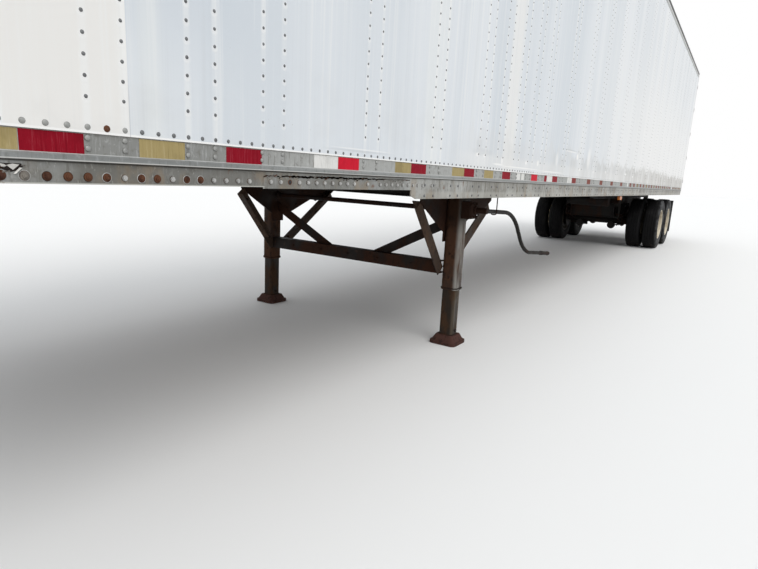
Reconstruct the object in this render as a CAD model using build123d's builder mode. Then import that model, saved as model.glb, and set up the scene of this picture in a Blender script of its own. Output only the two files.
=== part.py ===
import math
import os

from build123d import *

# A 53 ft dry van semi trailer on a tandem that slides for load, parked on its landing gear.
# X runs from the nose to the tail, Y to the trailer's right, Z up from the ground.
# The origin is on the ground under the middle of the trailer. All sizes in millimetres.

os.makedirs("parts", exist_ok=True)

# Body
LENGTH = 16150.0
HALF_WIDTH = 1295.0
HEIGHT = 4110.0
X_NOSE = -LENGTH / 2
X_TAIL = LENGTH / 2
SHEET_Y = 1290.0          # outer face of the side sheets
WALL = 38.0               # sheet, posts and plywood lining together
NOSE_RADIUS = 120.0
X_WALL_FRONT = X_NOSE + 150.0
TAIL_FRAME_DEPTH = 105.0
END_REACH = 75.0          # air couplings in front and dock bumpers behind stand out this far
X_WALL_REAR = X_TAIL - TAIL_FRAME_DEPTH

# Heights
RAIL_DEEP = 1135.0        # bottom edge of the bottom rail behind the step
RAIL_SHALLOW = 1186.0     # bottom edge of the bottom rail over the coupler
BEAD_LOW = 1244.0
BEAD_HIGH = 1258.0
RAIL_TOP = 1317.0
RAIL_LIP = 6.0
FLOOR_BASE = 1265.0
FLOOR_TOP = 1300.0
BEAM_BASE = RAIL_DEEP + RAIL_LIP
TOP_RAIL_BASE = 4000.0
ROOF_SHEET = 8.0
TOP_RAIL_TOP = HEIGHT - ROOF_SHEET

# Floor beams
BEAM_PITCH = 304.8
X_FIRST_BEAM = X_NOSE + 2639.2
BEAM_COUNT = 44
BEAM_HALF = SHEET_Y - 11
X_STEP = X_NOSE + 2451.0
STEP_RUN = 51.0
STEP_Z = 1152.0
LIP_SETBACK = 150.0       # the lip under the beams starts this far behind the step

# Coupler
KINGPIN_X = X_NOSE + 914.4
COUPLER_PLATE = 8.0
X_COUPLER_REAR = X_NOSE + 1420.0

# Roof bows
BOW_PITCH = 609.6
BOW_COUNT = 26

# Landing gear
LEG_X = X_NOSE + 3687.0
LEG_Y = 957.0
LEG_OUTER = 127.0
LEG_CORNER = 34.0
LEG_INNER = 110.0
INNER_CORNER = 26.0
LEG_FACE = LEG_X - LEG_OUTER / 2
LEG_TOP = BEAM_BASE
LEG_COLLAR = 425.0
LEG_INNER_TOP = 600.0
SHOE_SIZE = 220.0
SHOE_SOLE = 24.0
SHOE_TOP = 70.0
WING_T = 8.0
WING_Y = LEG_Y - LEG_OUTER / 2
SHAFT_Z = 1025.0
SHAFT_R = 19.0
CROSSBAR_Z = (540.0, 635.0)
BRACE_FOOT_Z = 560.0
# Side braces: top's offset from the leg and height, foot's offset, and the way the web faces
SIDE_BRACES = [(-455, 1060, -60, 0.784, 0.620), (760, 1040, 60, 0.566, -0.825)]
GEARBOX_OUT = 128.0       # outboard face of the gearbox, from the leg's middle
CRANK_Y = -1165.0
CRANK_R = 16.0
CRANK_BEND = 480.0
# Along the trailer and up: gearbox end, two bends and the handle's end
CRANK_PATH = [
    (X_NOSE + 3739.0, 1029.0), (X_NOSE + 4308.0, 1000.0), (X_NOSE + 4644.0, 646.0), (X_NOSE + 5115.0, 597.0),
]
GRIP = [(X_NOSE + 5110.0, 597.5), (X_NOSE + 5385.0, 568.0)]
HOOK_X = X_NOSE + 3883.0
HOOK_R = 4.0
HOOK_PLAY = 1.5
HOOK_REACH = CRANK_R + HOOK_R + HOOK_PLAY
HOOK_BEND = 14.0

# Running gear
TYRE_R = 515.0
TYRE_SIDES = 32
FLAT = math.cos(math.pi / TYRE_SIDES)
HALF_FLAT = math.tan(math.pi / TYRE_SIDES)
BEAD_R = 286.0
DUAL_PITCH = 330.0
DUAL_Y = 985.0
AXLE_X = (X_NOSE + 12920.0, X_NOSE + 12920.0 + 1245.0)
AXLE_R = 63.5
SPINDLE_R = 45.0
HUB_PLAY = 0.05
SPRING_Y = 490.0
SPRING_HALF = 520.0
SPRING_W = 76.0
LEAF_T = 13.0
SEAT_Z = TYRE_R + AXLE_R + 20.0
CLAMP_TOP = SEAT_Z + 3 * LEAF_T + 22.0
CLAMP_FOOT = TYRE_R - AXLE_R
U_BOLT_R = 8.0
U_BOLT_X = 85.0           # U-bolt legs, from the axle and from the middle of the spring
U_BOLT_Y = 47.0
MID_X = (AXLE_X[0] + AXLE_X[1]) / 2
HANGER_X = (AXLE_X[0] - 580.0, MID_X, AXLE_X[1] + 580.0)
HANGER_Z = 630.0
HANGER_FOOT = 600.0
HANGER_BRACE_TOP = 900.0
ROD_EYE_Z = 545.0         # radius rod's eye at the axle
ROD_EYE_R = 26.0
SLIDER_X = (AXLE_X[0] - 760.0, AXLE_X[1] + 740.0)
SLIDER_BASE = 912.0
SLIDER_TOP = 1032.0
SLIDER_HALF = 50.0
SLIDER_T = 8.0
CHAMBER_Y = 330.0
CHAMBER_Z = 428.0
CHAMBER_R = 70.0
CHAMBER_BAND_R = 82.0
CHAMBER_LID_R = 74.0
CAM_END = 428.0           # cam tube's outboard end, short of the spring's clamp plate
BODY_RAIL_X = (X_NOSE + 9800.0, X_WALL_REAR)

# Doors
DOOR_T = 45.0
DOOR_OUTER = 1199.0
DOOR_CENTRE = 5.0
DOOR_Z = (1308.0, 3965.0)
OPENING_Y = 1206.0
OPENING_TOP = 3972.0
X_DOOR_FACE = X_TAIL - 3.0
STOP = 16.0
HINGE_X = X_TAIL + 20.0
HINGE_Y = 1284.0
HINGE_PIN_R = 6.0
HINGE_EYE_R = 11.0
HINGE_Z = (1480.0, 2070.0, 2660.0, 3250.0, 3800.0)
KNUCKLE = 64.0
ROD_Y = (180.0, 640.0)
ROD_R = 13.5
ROD_X = X_DOOR_FACE + 28.0


def block(x, y, z):
    """A box between ranges along the three axes."""
    with Locations(((x[0] + x[1]) / 2, (y[0] + y[1]) / 2, (z[0] + z[1]) / 2)):
        Box(x[1] - x[0], y[1] - y[0], z[1] - z[0])


def cut(x, y, z):
    """Takes a box between ranges along the three axes out of the piece."""
    with Locations(((x[0] + x[1]) / 2, (y[0] + y[1]) / 2, (z[0] + z[1]) / 2)):
        Box(x[1] - x[0], y[1] - y[0], z[1] - z[0], mode=Mode.SUBTRACT)


def across(side, near, far):
    """The Y range from near to far on one side, low end first."""
    return (near, far) if side > 0 else (-far, -near)


def outline(plane, points, amount, mode=Mode.ADD):
    """A closed outline on a plane, extruded along the plane's normal."""
    with BuildSketch(plane) as shape:
        with BuildLine():
            Polyline(*points, close=True)
        make_face()
    extrude(shape.sketch, amount=amount, mode=mode)


def bar(start, end, radius):
    """A round bar from start to end."""
    line = Vector(*end) - Vector(*start)
    with BuildSketch(Plane(origin=start, z_dir=line)) as shape:
        Circle(radius)
    extrude(shape.sketch, amount=line.length)


def angle_bar(start, end, web_dir, web, flange, thick):
    """A rolled angle from start to end, its web along web_dir."""
    line = Vector(*end) - Vector(*start)
    outline(
        Plane(origin=start, x_dir=web_dir, z_dir=line),
        [
            (-web / 2, 0), (web / 2, 0), (web / 2, thick),
            (thick - web / 2, thick), (thick - web / 2, flange), (-web / 2, flange),
        ],
        line.length,
    )


def nose(outset, thick, base, top):
    """The nose in plan: straight across with a quarter round at each corner, open behind."""
    half = SHEET_Y + outset
    deep = X_WALL_FRONT - X_NOSE + outset
    middle = (X_NOSE - outset + X_WALL_FRONT) / 2
    with BuildSketch(Plane.XY.offset(base)) as solid_plan:
        with Locations((middle, 0)):
            outer = Rectangle(deep, 2 * half)
        fillet(outer.vertices().group_by(Axis.X)[0], NOSE_RADIUS + outset)
    extrude(solid_plan.sketch, amount=top - base)
    with BuildSketch(Plane.XY.offset(base)) as inner_plan:
        with Locations((middle + thick / 2, 0)):
            inner = Rectangle(deep - thick, 2 * (half - thick))
        fillet(inner.vertices().group_by(Axis.X)[0], NOSE_RADIUS + outset - thick)
    extrude(inner_plan.sketch, amount=top - base, mode=Mode.SUBTRACT)


# Side walls: sheet, posts and lining as one slab a side
for side, name in ((-1, "left"), (1, "right")):
    with BuildPart() as side_wall:
        block((X_WALL_FRONT, X_WALL_REAR), across(side, SHEET_Y - WALL, SHEET_Y), (RAIL_TOP, TOP_RAIL_BASE))
    side_wall.part.label = f"{name}_side_wall"
    export_step(side_wall.part, f"parts/{name}_side_wall.step")

with BuildPart() as front_wall:
    nose(0, WALL, RAIL_TOP, TOP_RAIL_BASE)
front_wall.part.label = "front_wall"
export_step(front_wall.part, "parts/front_wall.step")

with BuildPart() as nose_sill:
    nose(-2, WALL - 2, RAIL_SHALLOW, RAIL_TOP)
nose_sill.part.label = "nose_sill"
export_step(nose_sill.part, "parts/nose_sill.step")

# Bottom rails: a web, a rub bead, a ledge that closes the floor's edge and a lip under the beams
for side, name in ((-1, "left"), (1, "right")):
    section = [
        (SHEET_Y - 4, RAIL_DEEP), (SHEET_Y - 4, BEAD_LOW - 4), (HALF_WIDTH, BEAD_LOW),
        (HALF_WIDTH, BEAD_HIGH), (SHEET_Y - 2, BEAD_HIGH + 6), (SHEET_Y - 2, RAIL_TOP),
        (SHEET_Y - WALL, RAIL_TOP), (SHEET_Y - WALL, FLOOR_BASE), (SHEET_Y - 11, FLOOR_BASE),
        (SHEET_Y - 11, BEAM_BASE), (SHEET_Y - 60, BEAM_BASE), (SHEET_Y - 60, RAIL_DEEP),
    ]
    with BuildPart() as bottom_rail:
        outline(
            Plane(origin=(X_WALL_FRONT, 0, 0), x_dir=(0, 1, 0), z_dir=(1, 0, 0)),
            [(side * y, z) for y, z in section], X_WALL_REAR - X_WALL_FRONT,
        )
        outline(
            Plane(origin=(0, 2 * HALF_WIDTH, 0), x_dir=(1, 0, 0), z_dir=(0, -1, 0)),
            [
                (X_NOSE, 0), (X_STEP + STEP_RUN, 0), (X_STEP + STEP_RUN, RAIL_DEEP),
                (X_STEP, STEP_Z), (X_STEP, RAIL_SHALLOW), (X_NOSE, RAIL_SHALLOW),
            ],
            4 * HALF_WIDTH, Mode.SUBTRACT,
        )
        cut((X_STEP, X_STEP + LIP_SETBACK), across(side, SHEET_Y - 60, SHEET_Y - 11), (RAIL_DEEP, BEAM_BASE))
    bottom_rail.part.label = f"{name}_bottom_rail"
    export_step(bottom_rail.part, f"parts/{name}_bottom_rail.step")

# Top rails, and the nose's top rail between them
for side, name in ((-1, "left"), (1, "right")):
    section = [
        (SHEET_Y, TOP_RAIL_BASE), (SHEET_Y, TOP_RAIL_TOP - 22), (HALF_WIDTH, TOP_RAIL_TOP - 18),
        (HALF_WIDTH, TOP_RAIL_TOP), (SHEET_Y - 85, TOP_RAIL_TOP), (SHEET_Y - 85, TOP_RAIL_TOP - 6),
        (SHEET_Y - WALL, TOP_RAIL_TOP - 6), (SHEET_Y - WALL, TOP_RAIL_BASE),
    ]
    with BuildPart() as top_rail:
        outline(
            Plane(origin=(X_WALL_FRONT, 0, 0), x_dir=(0, 1, 0), z_dir=(1, 0, 0)),
            [(side * y, z) for y, z in section], X_WALL_REAR - X_WALL_FRONT,
        )
    top_rail.part.label = f"{name}_top_rail"
    export_step(top_rail.part, f"parts/{name}_top_rail.step")

with BuildPart() as nose_rail:
    nose(0, WALL, TOP_RAIL_BASE, TOP_RAIL_TOP)
nose_rail.part.label = "nose_rail"
export_step(nose_rail.part, "parts/nose_rail.step")

# Roof: one sheet on hat bows
with BuildPart() as roof:
    with BuildSketch(Plane.XY.offset(TOP_RAIL_TOP)):
        with Locations(((X_NOSE + 3 + X_WALL_REAR) / 2, 0)):
            sheet = Rectangle(X_WALL_REAR - X_NOSE - 3, 2 * SHEET_Y - 12)
        fillet(sheet.vertices().group_by(Axis.X)[0], NOSE_RADIUS)
    extrude(amount=ROOF_SHEET)
    for i in range(BOW_COUNT):
        x = X_NOSE + 400 + i * BOW_PITCH
        outline(
            Plane(origin=(x, SHEET_Y - 86, TOP_RAIL_TOP), x_dir=(1, 0, 0), z_dir=(0, -1, 0)),
            [
                (-38, 0), (-21, 0), (-15, -26), (15, -26), (21, 0), (38, 0), (38, -2),
                (22.5, -2), (16.5, -28), (-16.5, -28), (-22.5, -2), (-38, -2),
            ],
            2 * (SHEET_Y - 86),
        )
roof.part.label = "roof"
export_step(roof.part, "parts/roof.step")

with BuildPart() as floor:
    block((X_WALL_FRONT, X_WALL_REAR), (WALL - SHEET_Y, SHEET_Y - WALL), (FLOOR_BASE, FLOOR_TOP))
    block((X_NOSE + WALL, X_WALL_FRONT), (150 - SHEET_Y, SHEET_Y - 150), (FLOOR_BASE, FLOOR_TOP))
floor.part.label = "floor"
export_step(floor.part, "parts/floor.step")


def i_beam(x, base, top, width, thick, half):
    """An I-beam across the trailer, centred at x, that reaches half to each side."""
    outline(
        Plane(origin=(x, half, 0), x_dir=(1, 0, 0), z_dir=(0, -1, 0)),
        [
            (-width / 2, base), (width / 2, base), (width / 2, base + thick), (thick / 2, base + thick),
            (thick / 2, top - thick), (width / 2, top - thick), (width / 2, top), (-width / 2, top),
            (-width / 2, top - thick), (-thick / 2, top - thick), (-thick / 2, base + thick),
            (-width / 2, base + thick),
        ],
        2 * half,
    )


with BuildPart() as floor_beams:
    for i in range(3):
        i_beam(X_COUPLER_REAR + 230 + i * BEAM_PITCH, RAIL_SHALLOW + RAIL_LIP, FLOOR_BASE, 57, 5, BEAM_HALF)
    for i in range(BEAM_COUNT):
        if X_FIRST_BEAM + i * BEAM_PITCH < X_WALL_REAR - 60:
            i_beam(X_FIRST_BEAM + i * BEAM_PITCH, BEAM_BASE, FLOOR_BASE, 57, 5, BEAM_HALF)
floor_beams.part.label = "floor_beams"
export_step(floor_beams.part, "parts/floor_beams.step")

# Upper coupler: a pickup plate under a grid of plates, with the kingpin let through it
with BuildPart() as coupler:
    half = SHEET_Y - 12
    top = RAIL_SHALLOW + COUPLER_PLATE
    front = X_WALL_FRONT
    block((front, X_COUPLER_REAR), (-half, half), (RAIL_SHALLOW, top))
    for x in (front, KINGPIN_X - 260, KINGPIN_X - 90, KINGPIN_X + 78, KINGPIN_X + 248, X_COUPLER_REAR - 12):
        block((x, x + 12), (-half, half), (top, FLOOR_BASE))
    for y in (-900, -480, -120, 120, 480, 900):
        block((front, X_COUPLER_REAR), (y - 6, y + 6), (top, FLOOR_BASE))
coupler.part.label = "coupler"
export_step(coupler.part, "parts/coupler.step")

with BuildPart() as kingpin:
    with BuildSketch(Plane(origin=(KINGPIN_X, 0, RAIL_SHALLOW), x_dir=(1, 0, 0), z_dir=(0, -1, 0))):
        with BuildLine():
            Polyline(
                (0, -84), (33, -84), (35.7, -81), (35.7, -65), (25.4, -65), (25.4, -35),
                (36.5, -35), (36.5, -8), (75, -8), (75, 0), (0, 0), close=True,
            )
        make_face()
    revolve(axis=Axis((KINGPIN_X, 0, 0), (0, 0, 1)))
kingpin.part.label = "kingpin"
export_step(kingpin.part, "parts/kingpin.step")

# Air couplings and the lamp socket on the nose
COUPLING_Z = 1420.0
with BuildPart() as air_couplings:
    face = X_NOSE - 8
    reach = X_NOSE - END_REACH
    block((face, X_NOSE), (-260, 260), (COUPLING_Z - 55, COUPLING_Z + 55))
    for y in (-190, 190):
        with Locations((face - 14, y, COUPLING_Z)):
            Cylinder(22, 28, rotation=(0, 90, 0))
        with Locations((reach + 21, y, COUPLING_Z - 12)):
            Cylinder(38, 42, rotation=(0, 90, 0))
        block((reach + 4, reach + 28), (y - 52, y - 10), (COUPLING_Z - 44, COUPLING_Z - 20))
    with Locations((face - 27, 0, COUPLING_Z)):
        Cylinder(36, 54, rotation=(0, 90, 0))
    block((face - 62, face - 50), (-42, 42), (COUPLING_Z - 36, COUPLING_Z + 46))
air_couplings.part.label = "air_couplings"
export_step(air_couplings.part, "parts/air_couplings.step")

# Tail frame: corner posts, header and sill round the doorway, with a stop all round for the doors
with BuildPart() as tail_frame:
    block((X_WALL_REAR, X_TAIL), (-SHEET_Y, SHEET_Y), (RAIL_DEEP, HEIGHT))
    cut((X_WALL_REAR, X_TAIL), (STOP - OPENING_Y, OPENING_Y - STOP), (FLOOR_TOP, OPENING_TOP - STOP))
    cut((X_DOOR_FACE - DOOR_T - 6, X_TAIL), (-OPENING_Y, OPENING_Y), (FLOOR_TOP, OPENING_TOP))
    cut((X_WALL_REAR, X_TAIL - 12), (-SHEET_Y, SHEET_Y), (RAIL_DEEP, FLOOR_BASE - 40))
    for side in (-1, 1):
        outline(
            Plane.XY.offset(RAIL_DEEP),
            [(X_TAIL - 25, side * SHEET_Y), (X_TAIL, side * (SHEET_Y - 25)), (X_TAIL, side * SHEET_Y)],
            HEIGHT - RAIL_DEEP, Mode.SUBTRACT,
        )
    for side in (-1, 1):
        for z in HINGE_Z:
            for dz in (-1, 1):
                base = z + dz * (KNUCKLE / 2 + 1) - (12 if dz < 0 else 0)
                block((X_TAIL - 2, HINGE_X), across(side, 1262, HINGE_Y), (base, base + 12))
                with Locations((HINGE_X, side * HINGE_Y, base + 6)):
                    Cylinder(HINGE_EYE_R, 12)
            with Locations((HINGE_X, side * HINGE_Y, z)):
                Cylinder(HINGE_PIN_R, KNUCKLE + 26)
        for y in ROD_Y:
            for z in (1215.0, 4020.0):
                for edge in (-34, 22):
                    low = min(side * (y + edge), side * (y + edge + 12))
                    block((X_TAIL, X_TAIL + 34), (low, low + 12), (z, z + 55))
tail_frame.part.label = "tail_frame"
export_step(tail_frame.part, "parts/tail_frame.step")

with BuildPart() as dock_bumpers:
    for side in (-1, 1):
        with BuildSketch(Plane(origin=(X_TAIL, side * 1000, 1172), x_dir=(0, 1, 0), z_dir=(1, 0, 0))):
            RectangleRounded(300, 60, 14)
        extrude(amount=END_REACH)
dock_bumpers.part.label = "dock_bumpers"
export_step(dock_bumpers.part, "parts/dock_bumpers.step")

# Amber lamps: turn lamps at mid length, side markers at the front, clearance lamps on the nose
MID_LAMP_X = 150.0
with BuildPart() as amber_lamps:
    for side in (-1, 1):
        block((MID_LAMP_X - 75, MID_LAMP_X + 75), across(side, 1238, 1268), (RAIL_DEEP - 58, RAIL_DEEP - 8))
        block((MID_LAMP_X - 12, MID_LAMP_X + 12), across(side, 1240, 1262), (RAIL_DEEP - 8, RAIL_DEEP))
        block((X_WALL_FRONT + 90, X_WALL_FRONT + 190), across(side, SHEET_Y - 4, HALF_WIDTH), (1212, 1236))
        with BuildSketch(Plane(origin=(X_NOSE, side * 1100, 4040), x_dir=(0, 1, 0), z_dir=(-1, 0, 0))):
            RectangleRounded(110, 40, 12)
        extrude(amount=22)
amber_lamps.part.label = "amber_lamps"
export_step(amber_lamps.part, "parts/amber_lamps.step")

# Red lamps: stop and turn lamps in the sill, clearance lamps on the header
with BuildPart() as red_lamps:
    for y in (-1180, -780, 780, 1180):
        with BuildSketch(Plane(origin=(X_TAIL, y, 1255), x_dir=(0, 1, 0), z_dir=(1, 0, 0))):
            Circle(34)
        extrude(amount=22)
    for y in (-1100, -150, 0, 150, 1100):
        with BuildSketch(Plane(origin=(X_TAIL, y, 4089), x_dir=(0, 1, 0), z_dir=(1, 0, 0))):
            RectangleRounded(95, 26, 8)
        extrude(amount=20)
red_lamps.part.label = "red_lamps"
export_step(red_lamps.part, "parts/red_lamps.step")

# Landing gear
with BuildPart() as leg_tubes:
    for side in (-1, 1):
        with BuildSketch(Plane.XY.offset(LEG_COLLAR)):
            with Locations((LEG_X, side * LEG_Y)):
                RectangleRounded(LEG_OUTER, LEG_OUTER, LEG_CORNER)
        extrude(amount=LEG_TOP - LEG_COLLAR)
        with BuildSketch(Plane.XY.offset(LEG_COLLAR)):
            with Locations((LEG_X, side * LEG_Y)):
                RectangleRounded(LEG_OUTER + 7, LEG_OUTER + 7, LEG_CORNER + 3)
        extrude(amount=12)
        with BuildSketch(Plane.XY.offset(LEG_COLLAR)):
            with Locations((LEG_X, side * LEG_Y)):
                RectangleRounded(LEG_INNER + 1, LEG_INNER + 1, INNER_CORNER + 0.5)
        extrude(amount=LEG_INNER_TOP + 5 - LEG_COLLAR, mode=Mode.SUBTRACT)
leg_tubes.part.label = "leg_tubes"
export_step(leg_tubes.part, "parts/leg_tubes.step")

with BuildPart() as inner_legs:
    for side in (-1, 1):
        with BuildSketch(Plane.XY.offset(SHOE_TOP)):
            with Locations((LEG_X, side * LEG_Y)):
                RectangleRounded(LEG_INNER, LEG_INNER, INNER_CORNER)
        extrude(amount=LEG_INNER_TOP - SHOE_TOP)
inner_legs.part.label = "inner_legs"
export_step(inner_legs.part, "parts/inner_legs.step")

with BuildPart() as shoes:
    for side in (-1, 1):
        with BuildSketch(Plane.XY):
            with Locations((LEG_X, side * LEG_Y)):
                RectangleRounded(SHOE_SIZE, SHOE_SIZE, 40)
        extrude(amount=SHOE_SOLE)
        with BuildSketch(Plane.XY.offset(SHOE_SOLE)):
            with Locations((LEG_X, side * LEG_Y)):
                RectangleRounded(SHOE_SIZE - 20, SHOE_SIZE - 20, 34)
        with BuildSketch(Plane.XY.offset(SHOE_TOP)):
            with Locations((LEG_X, side * LEG_Y)):
                RectangleRounded(LEG_INNER + 36, LEG_INNER + 36, 20)
        loft()
shoes.part.label = "shoes"
export_step(shoes.part, "parts/shoes.step")

# Wing plates on the legs' inboard faces carry the gear under the floor beams
with BuildPart() as wing_plates:
    for side in (-1, 1):
        y = side * WING_Y
        outline(
            Plane(origin=(LEG_X, y, 0), x_dir=(1, 0, 0), z_dir=(0, -1, 0)),
            [
                (-440, BEAM_BASE), (-440, 1080), (-82, 862), (-70, 862), (-70, 785), (70, 785), (70, 862),
                (185, 868), (470, 985), (535, 960), (790, 1080), (790, BEAM_BASE),
            ],
            side * WING_T,
        )
        block((LEG_X - 440, LEG_X + 790), across(side, WING_Y - 60, WING_Y), (BEAM_BASE - 8, BEAM_BASE))
        with BuildSketch(Plane(origin=(LEG_X, side * WING_Y, SHAFT_Z), x_dir=(1, 0, 0), z_dir=(0, -side, 0))):
            Circle(30)
        extrude(amount=WING_T, mode=Mode.SUBTRACT)
wing_plates.part.label = "wing_plates"
export_step(wing_plates.part, "parts/wing_plates.step")

with BuildPart() as side_braces:
    for side in (-1, 1):
        y = side * (WING_Y - WING_T)
        for top_x, top_z, foot_x, web_x, web_z in SIDE_BRACES:
            angle_bar(
                (LEG_X + top_x, y, top_z), (LEG_X + foot_x, y, BRACE_FOOT_Z), (side * web_x, 0, side * web_z),
                90, 70, 7,
            )
        cut(
            (LEG_X - 200, LEG_X + 200), across(side, 790, WING_Y - WING_T - 7),
            (BRACE_FOOT_Z - 80, CROSSBAR_Z[1] + 12),
        )
side_braces.part.label = "side_braces"
export_step(side_braces.part, "parts/side_braces.step")

with BuildPart() as leg_brace:
    low, high = CROSSBAR_Z
    half = WING_Y - WING_T - 7
    block((LEG_FACE - 6, LEG_FACE), (-half, half), (low, high))
    for z in (low, high - 6):
        block((LEG_FACE - 6, LEG_X + 14), (-half, half), (z, z + 6))
    for side in (-1, 1):
        outline(
            Plane(origin=(LEG_X + 4, 0, 0), x_dir=(0, -1, 0), z_dir=(-1, 0, 0)),
            [(-side * y, z) for y, z in ((216, high - 2), (385, high - 2), (885.5, 884), (885.5, 968))],
            8,
        )
leg_brace.part.label = "leg_brace"
export_step(leg_brace.part, "parts/leg_brace.step")

with BuildPart() as leg_shaft:
    bar((LEG_X, LEG_OUTER / 2 - LEG_Y, SHAFT_Z), (LEG_X, LEG_Y - LEG_OUTER / 2, SHAFT_Z), SHAFT_R)
leg_shaft.part.label = "leg_shaft"
export_step(leg_shaft.part, "parts/leg_shaft.step")

with BuildPart() as leg_gearbox:
    block(
        (LEG_X - 62, LEG_X + 62), (-LEG_Y - GEARBOX_OUT, -LEG_Y - LEG_OUTER / 2), (SHAFT_Z - 57, SHAFT_Z + 67),
    )
    bar(
        (LEG_X + 30, -LEG_Y - GEARBOX_OUT, SHAFT_Z + 5), (LEG_X + 30, CRANK_Y - CRANK_R - 3, SHAFT_Z + 5),
        CRANK_R + 5,
    )
leg_gearbox.part.label = "leg_gearbox"
export_step(leg_gearbox.part, "parts/leg_gearbox.step")

with BuildPart() as crank:
    with BuildLine() as crank_line:
        FilletPolyline(*[(x, CRANK_Y, z) for x, z in CRANK_PATH], radius=CRANK_BEND)
    with BuildSketch(Plane(origin=crank_line.line @ 0, z_dir=crank_line.line % 0)):
        Circle(CRANK_R)
    sweep()
    bar((GRIP[0][0], CRANK_Y, GRIP[0][1]), (GRIP[1][0], CRANK_Y, GRIP[1][1]), CRANK_R + 2)
crank.part.label = "crank"
export_step(crank.part, "parts/crank.step")

# A hook hangs from the first beam behind the legs and carries the crank
with BuildPart() as crank_hook:
    (x_start, z_start), (x_bend, z_bend) = CRANK_PATH[:2]
    held_z = z_start + (z_bend - z_start) * (HOOK_X - x_start) / (x_bend - x_start)
    near_y, far_y = CRANK_Y - HOOK_REACH, CRANK_Y + HOOK_REACH
    with BuildLine() as hook_line:
        FilletPolyline(
            (HOOK_X, near_y, BEAM_BASE), (HOOK_X, near_y, held_z - HOOK_REACH),
            (HOOK_X, far_y, held_z - HOOK_REACH), (HOOK_X, far_y, held_z + 13), radius=HOOK_BEND,
        )
    with BuildSketch(Plane(origin=hook_line.line @ 0, z_dir=hook_line.line % 0)):
        Circle(HOOK_R)
    sweep()
crank_hook.part.label = "crank_hook"
export_step(crank_hook.part, "parts/crank_hook.step")

# Running gear: rails under the body, the tandem's frame, and its springs
with BuildPart() as body_rails:
    for side in (-1, 1):
        y = side * SPRING_Y
        outline(
            Plane(origin=(BODY_RAIL_X[0], y, 0), x_dir=(0, 1, 0), z_dir=(1, 0, 0)),
            [
                (side * 4, BEAM_BASE), (side * -76, BEAM_BASE), (side * -76, BEAM_BASE - 8),
                (side * -4, BEAM_BASE - 8), (side * -4, SLIDER_TOP), (side * 60, SLIDER_TOP),
                (side * 60, SLIDER_TOP + 8), (side * 4, SLIDER_TOP + 8),
            ],
            BODY_RAIL_X[1] - BODY_RAIL_X[0],
        )
body_rails.part.label = "body_rails"
export_step(body_rails.part, "parts/body_rails.step")

with BuildPart() as tandem_rails:
    for side in (-1, 1):
        outline(
            Plane(origin=(SLIDER_X[0], side * SPRING_Y, 0), x_dir=(0, 1, 0), z_dir=(1, 0, 0)),
            [
                (side * y, z) for y, z in (
                    (-SLIDER_HALF, SLIDER_BASE), (SLIDER_HALF, SLIDER_BASE), (SLIDER_HALF, SLIDER_TOP),
                    (-SLIDER_HALF, SLIDER_TOP), (-SLIDER_HALF, SLIDER_TOP - SLIDER_T),
                    (SLIDER_HALF - SLIDER_T, SLIDER_TOP - SLIDER_T),
                    (SLIDER_HALF - SLIDER_T, SLIDER_BASE + SLIDER_T), (-SLIDER_HALF, SLIDER_BASE + SLIDER_T),
                )
            ],
            SLIDER_X[1] - SLIDER_X[0],
        )
tandem_rails.part.label = "tandem_rails"
export_step(tandem_rails.part, "parts/tandem_rails.step")

with BuildPart() as tandem_crossmembers:
    for x in (SLIDER_X[0] + 40, AXLE_X[0] - 120, MID_X, AXLE_X[1] + 120, SLIDER_X[1] - 40):
        i_beam(
            x, SLIDER_BASE + SLIDER_T, SLIDER_TOP - SLIDER_T, 80, SLIDER_T, SPRING_Y + SLIDER_HALF - SLIDER_T,
        )
    for x in HANGER_X:
        i_beam(x, HANGER_FOOT, HANGER_BRACE_TOP, 64, SLIDER_T, SPRING_Y - SLIDER_HALF)
tandem_crossmembers.part.label = "tandem_crossmembers"
export_step(tandem_crossmembers.part, "parts/tandem_crossmembers.step")

with BuildPart() as spring_hangers:
    for side in (-1, 1):
        y = side * SPRING_Y
        for x in HANGER_X:
            outline(
                Plane(origin=(x, y + SLIDER_HALF, 0), x_dir=(1, 0, 0), z_dir=(0, -1, 0)),
                [
                    (-105, SLIDER_BASE), (105, SLIDER_BASE), (60, HANGER_FOOT + 40), (40, HANGER_FOOT),
                    (-40, HANGER_FOOT), (-60, HANGER_FOOT + 40),
                ],
                2 * SLIDER_HALF,
            )
            cut((x - 110, x + 110), (y - 42, y + 42), (HANGER_FOOT - 10, SLIDER_BASE - 60))
spring_hangers.part.label = "spring_hangers"
export_step(spring_hangers.part, "parts/spring_hangers.step")

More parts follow.
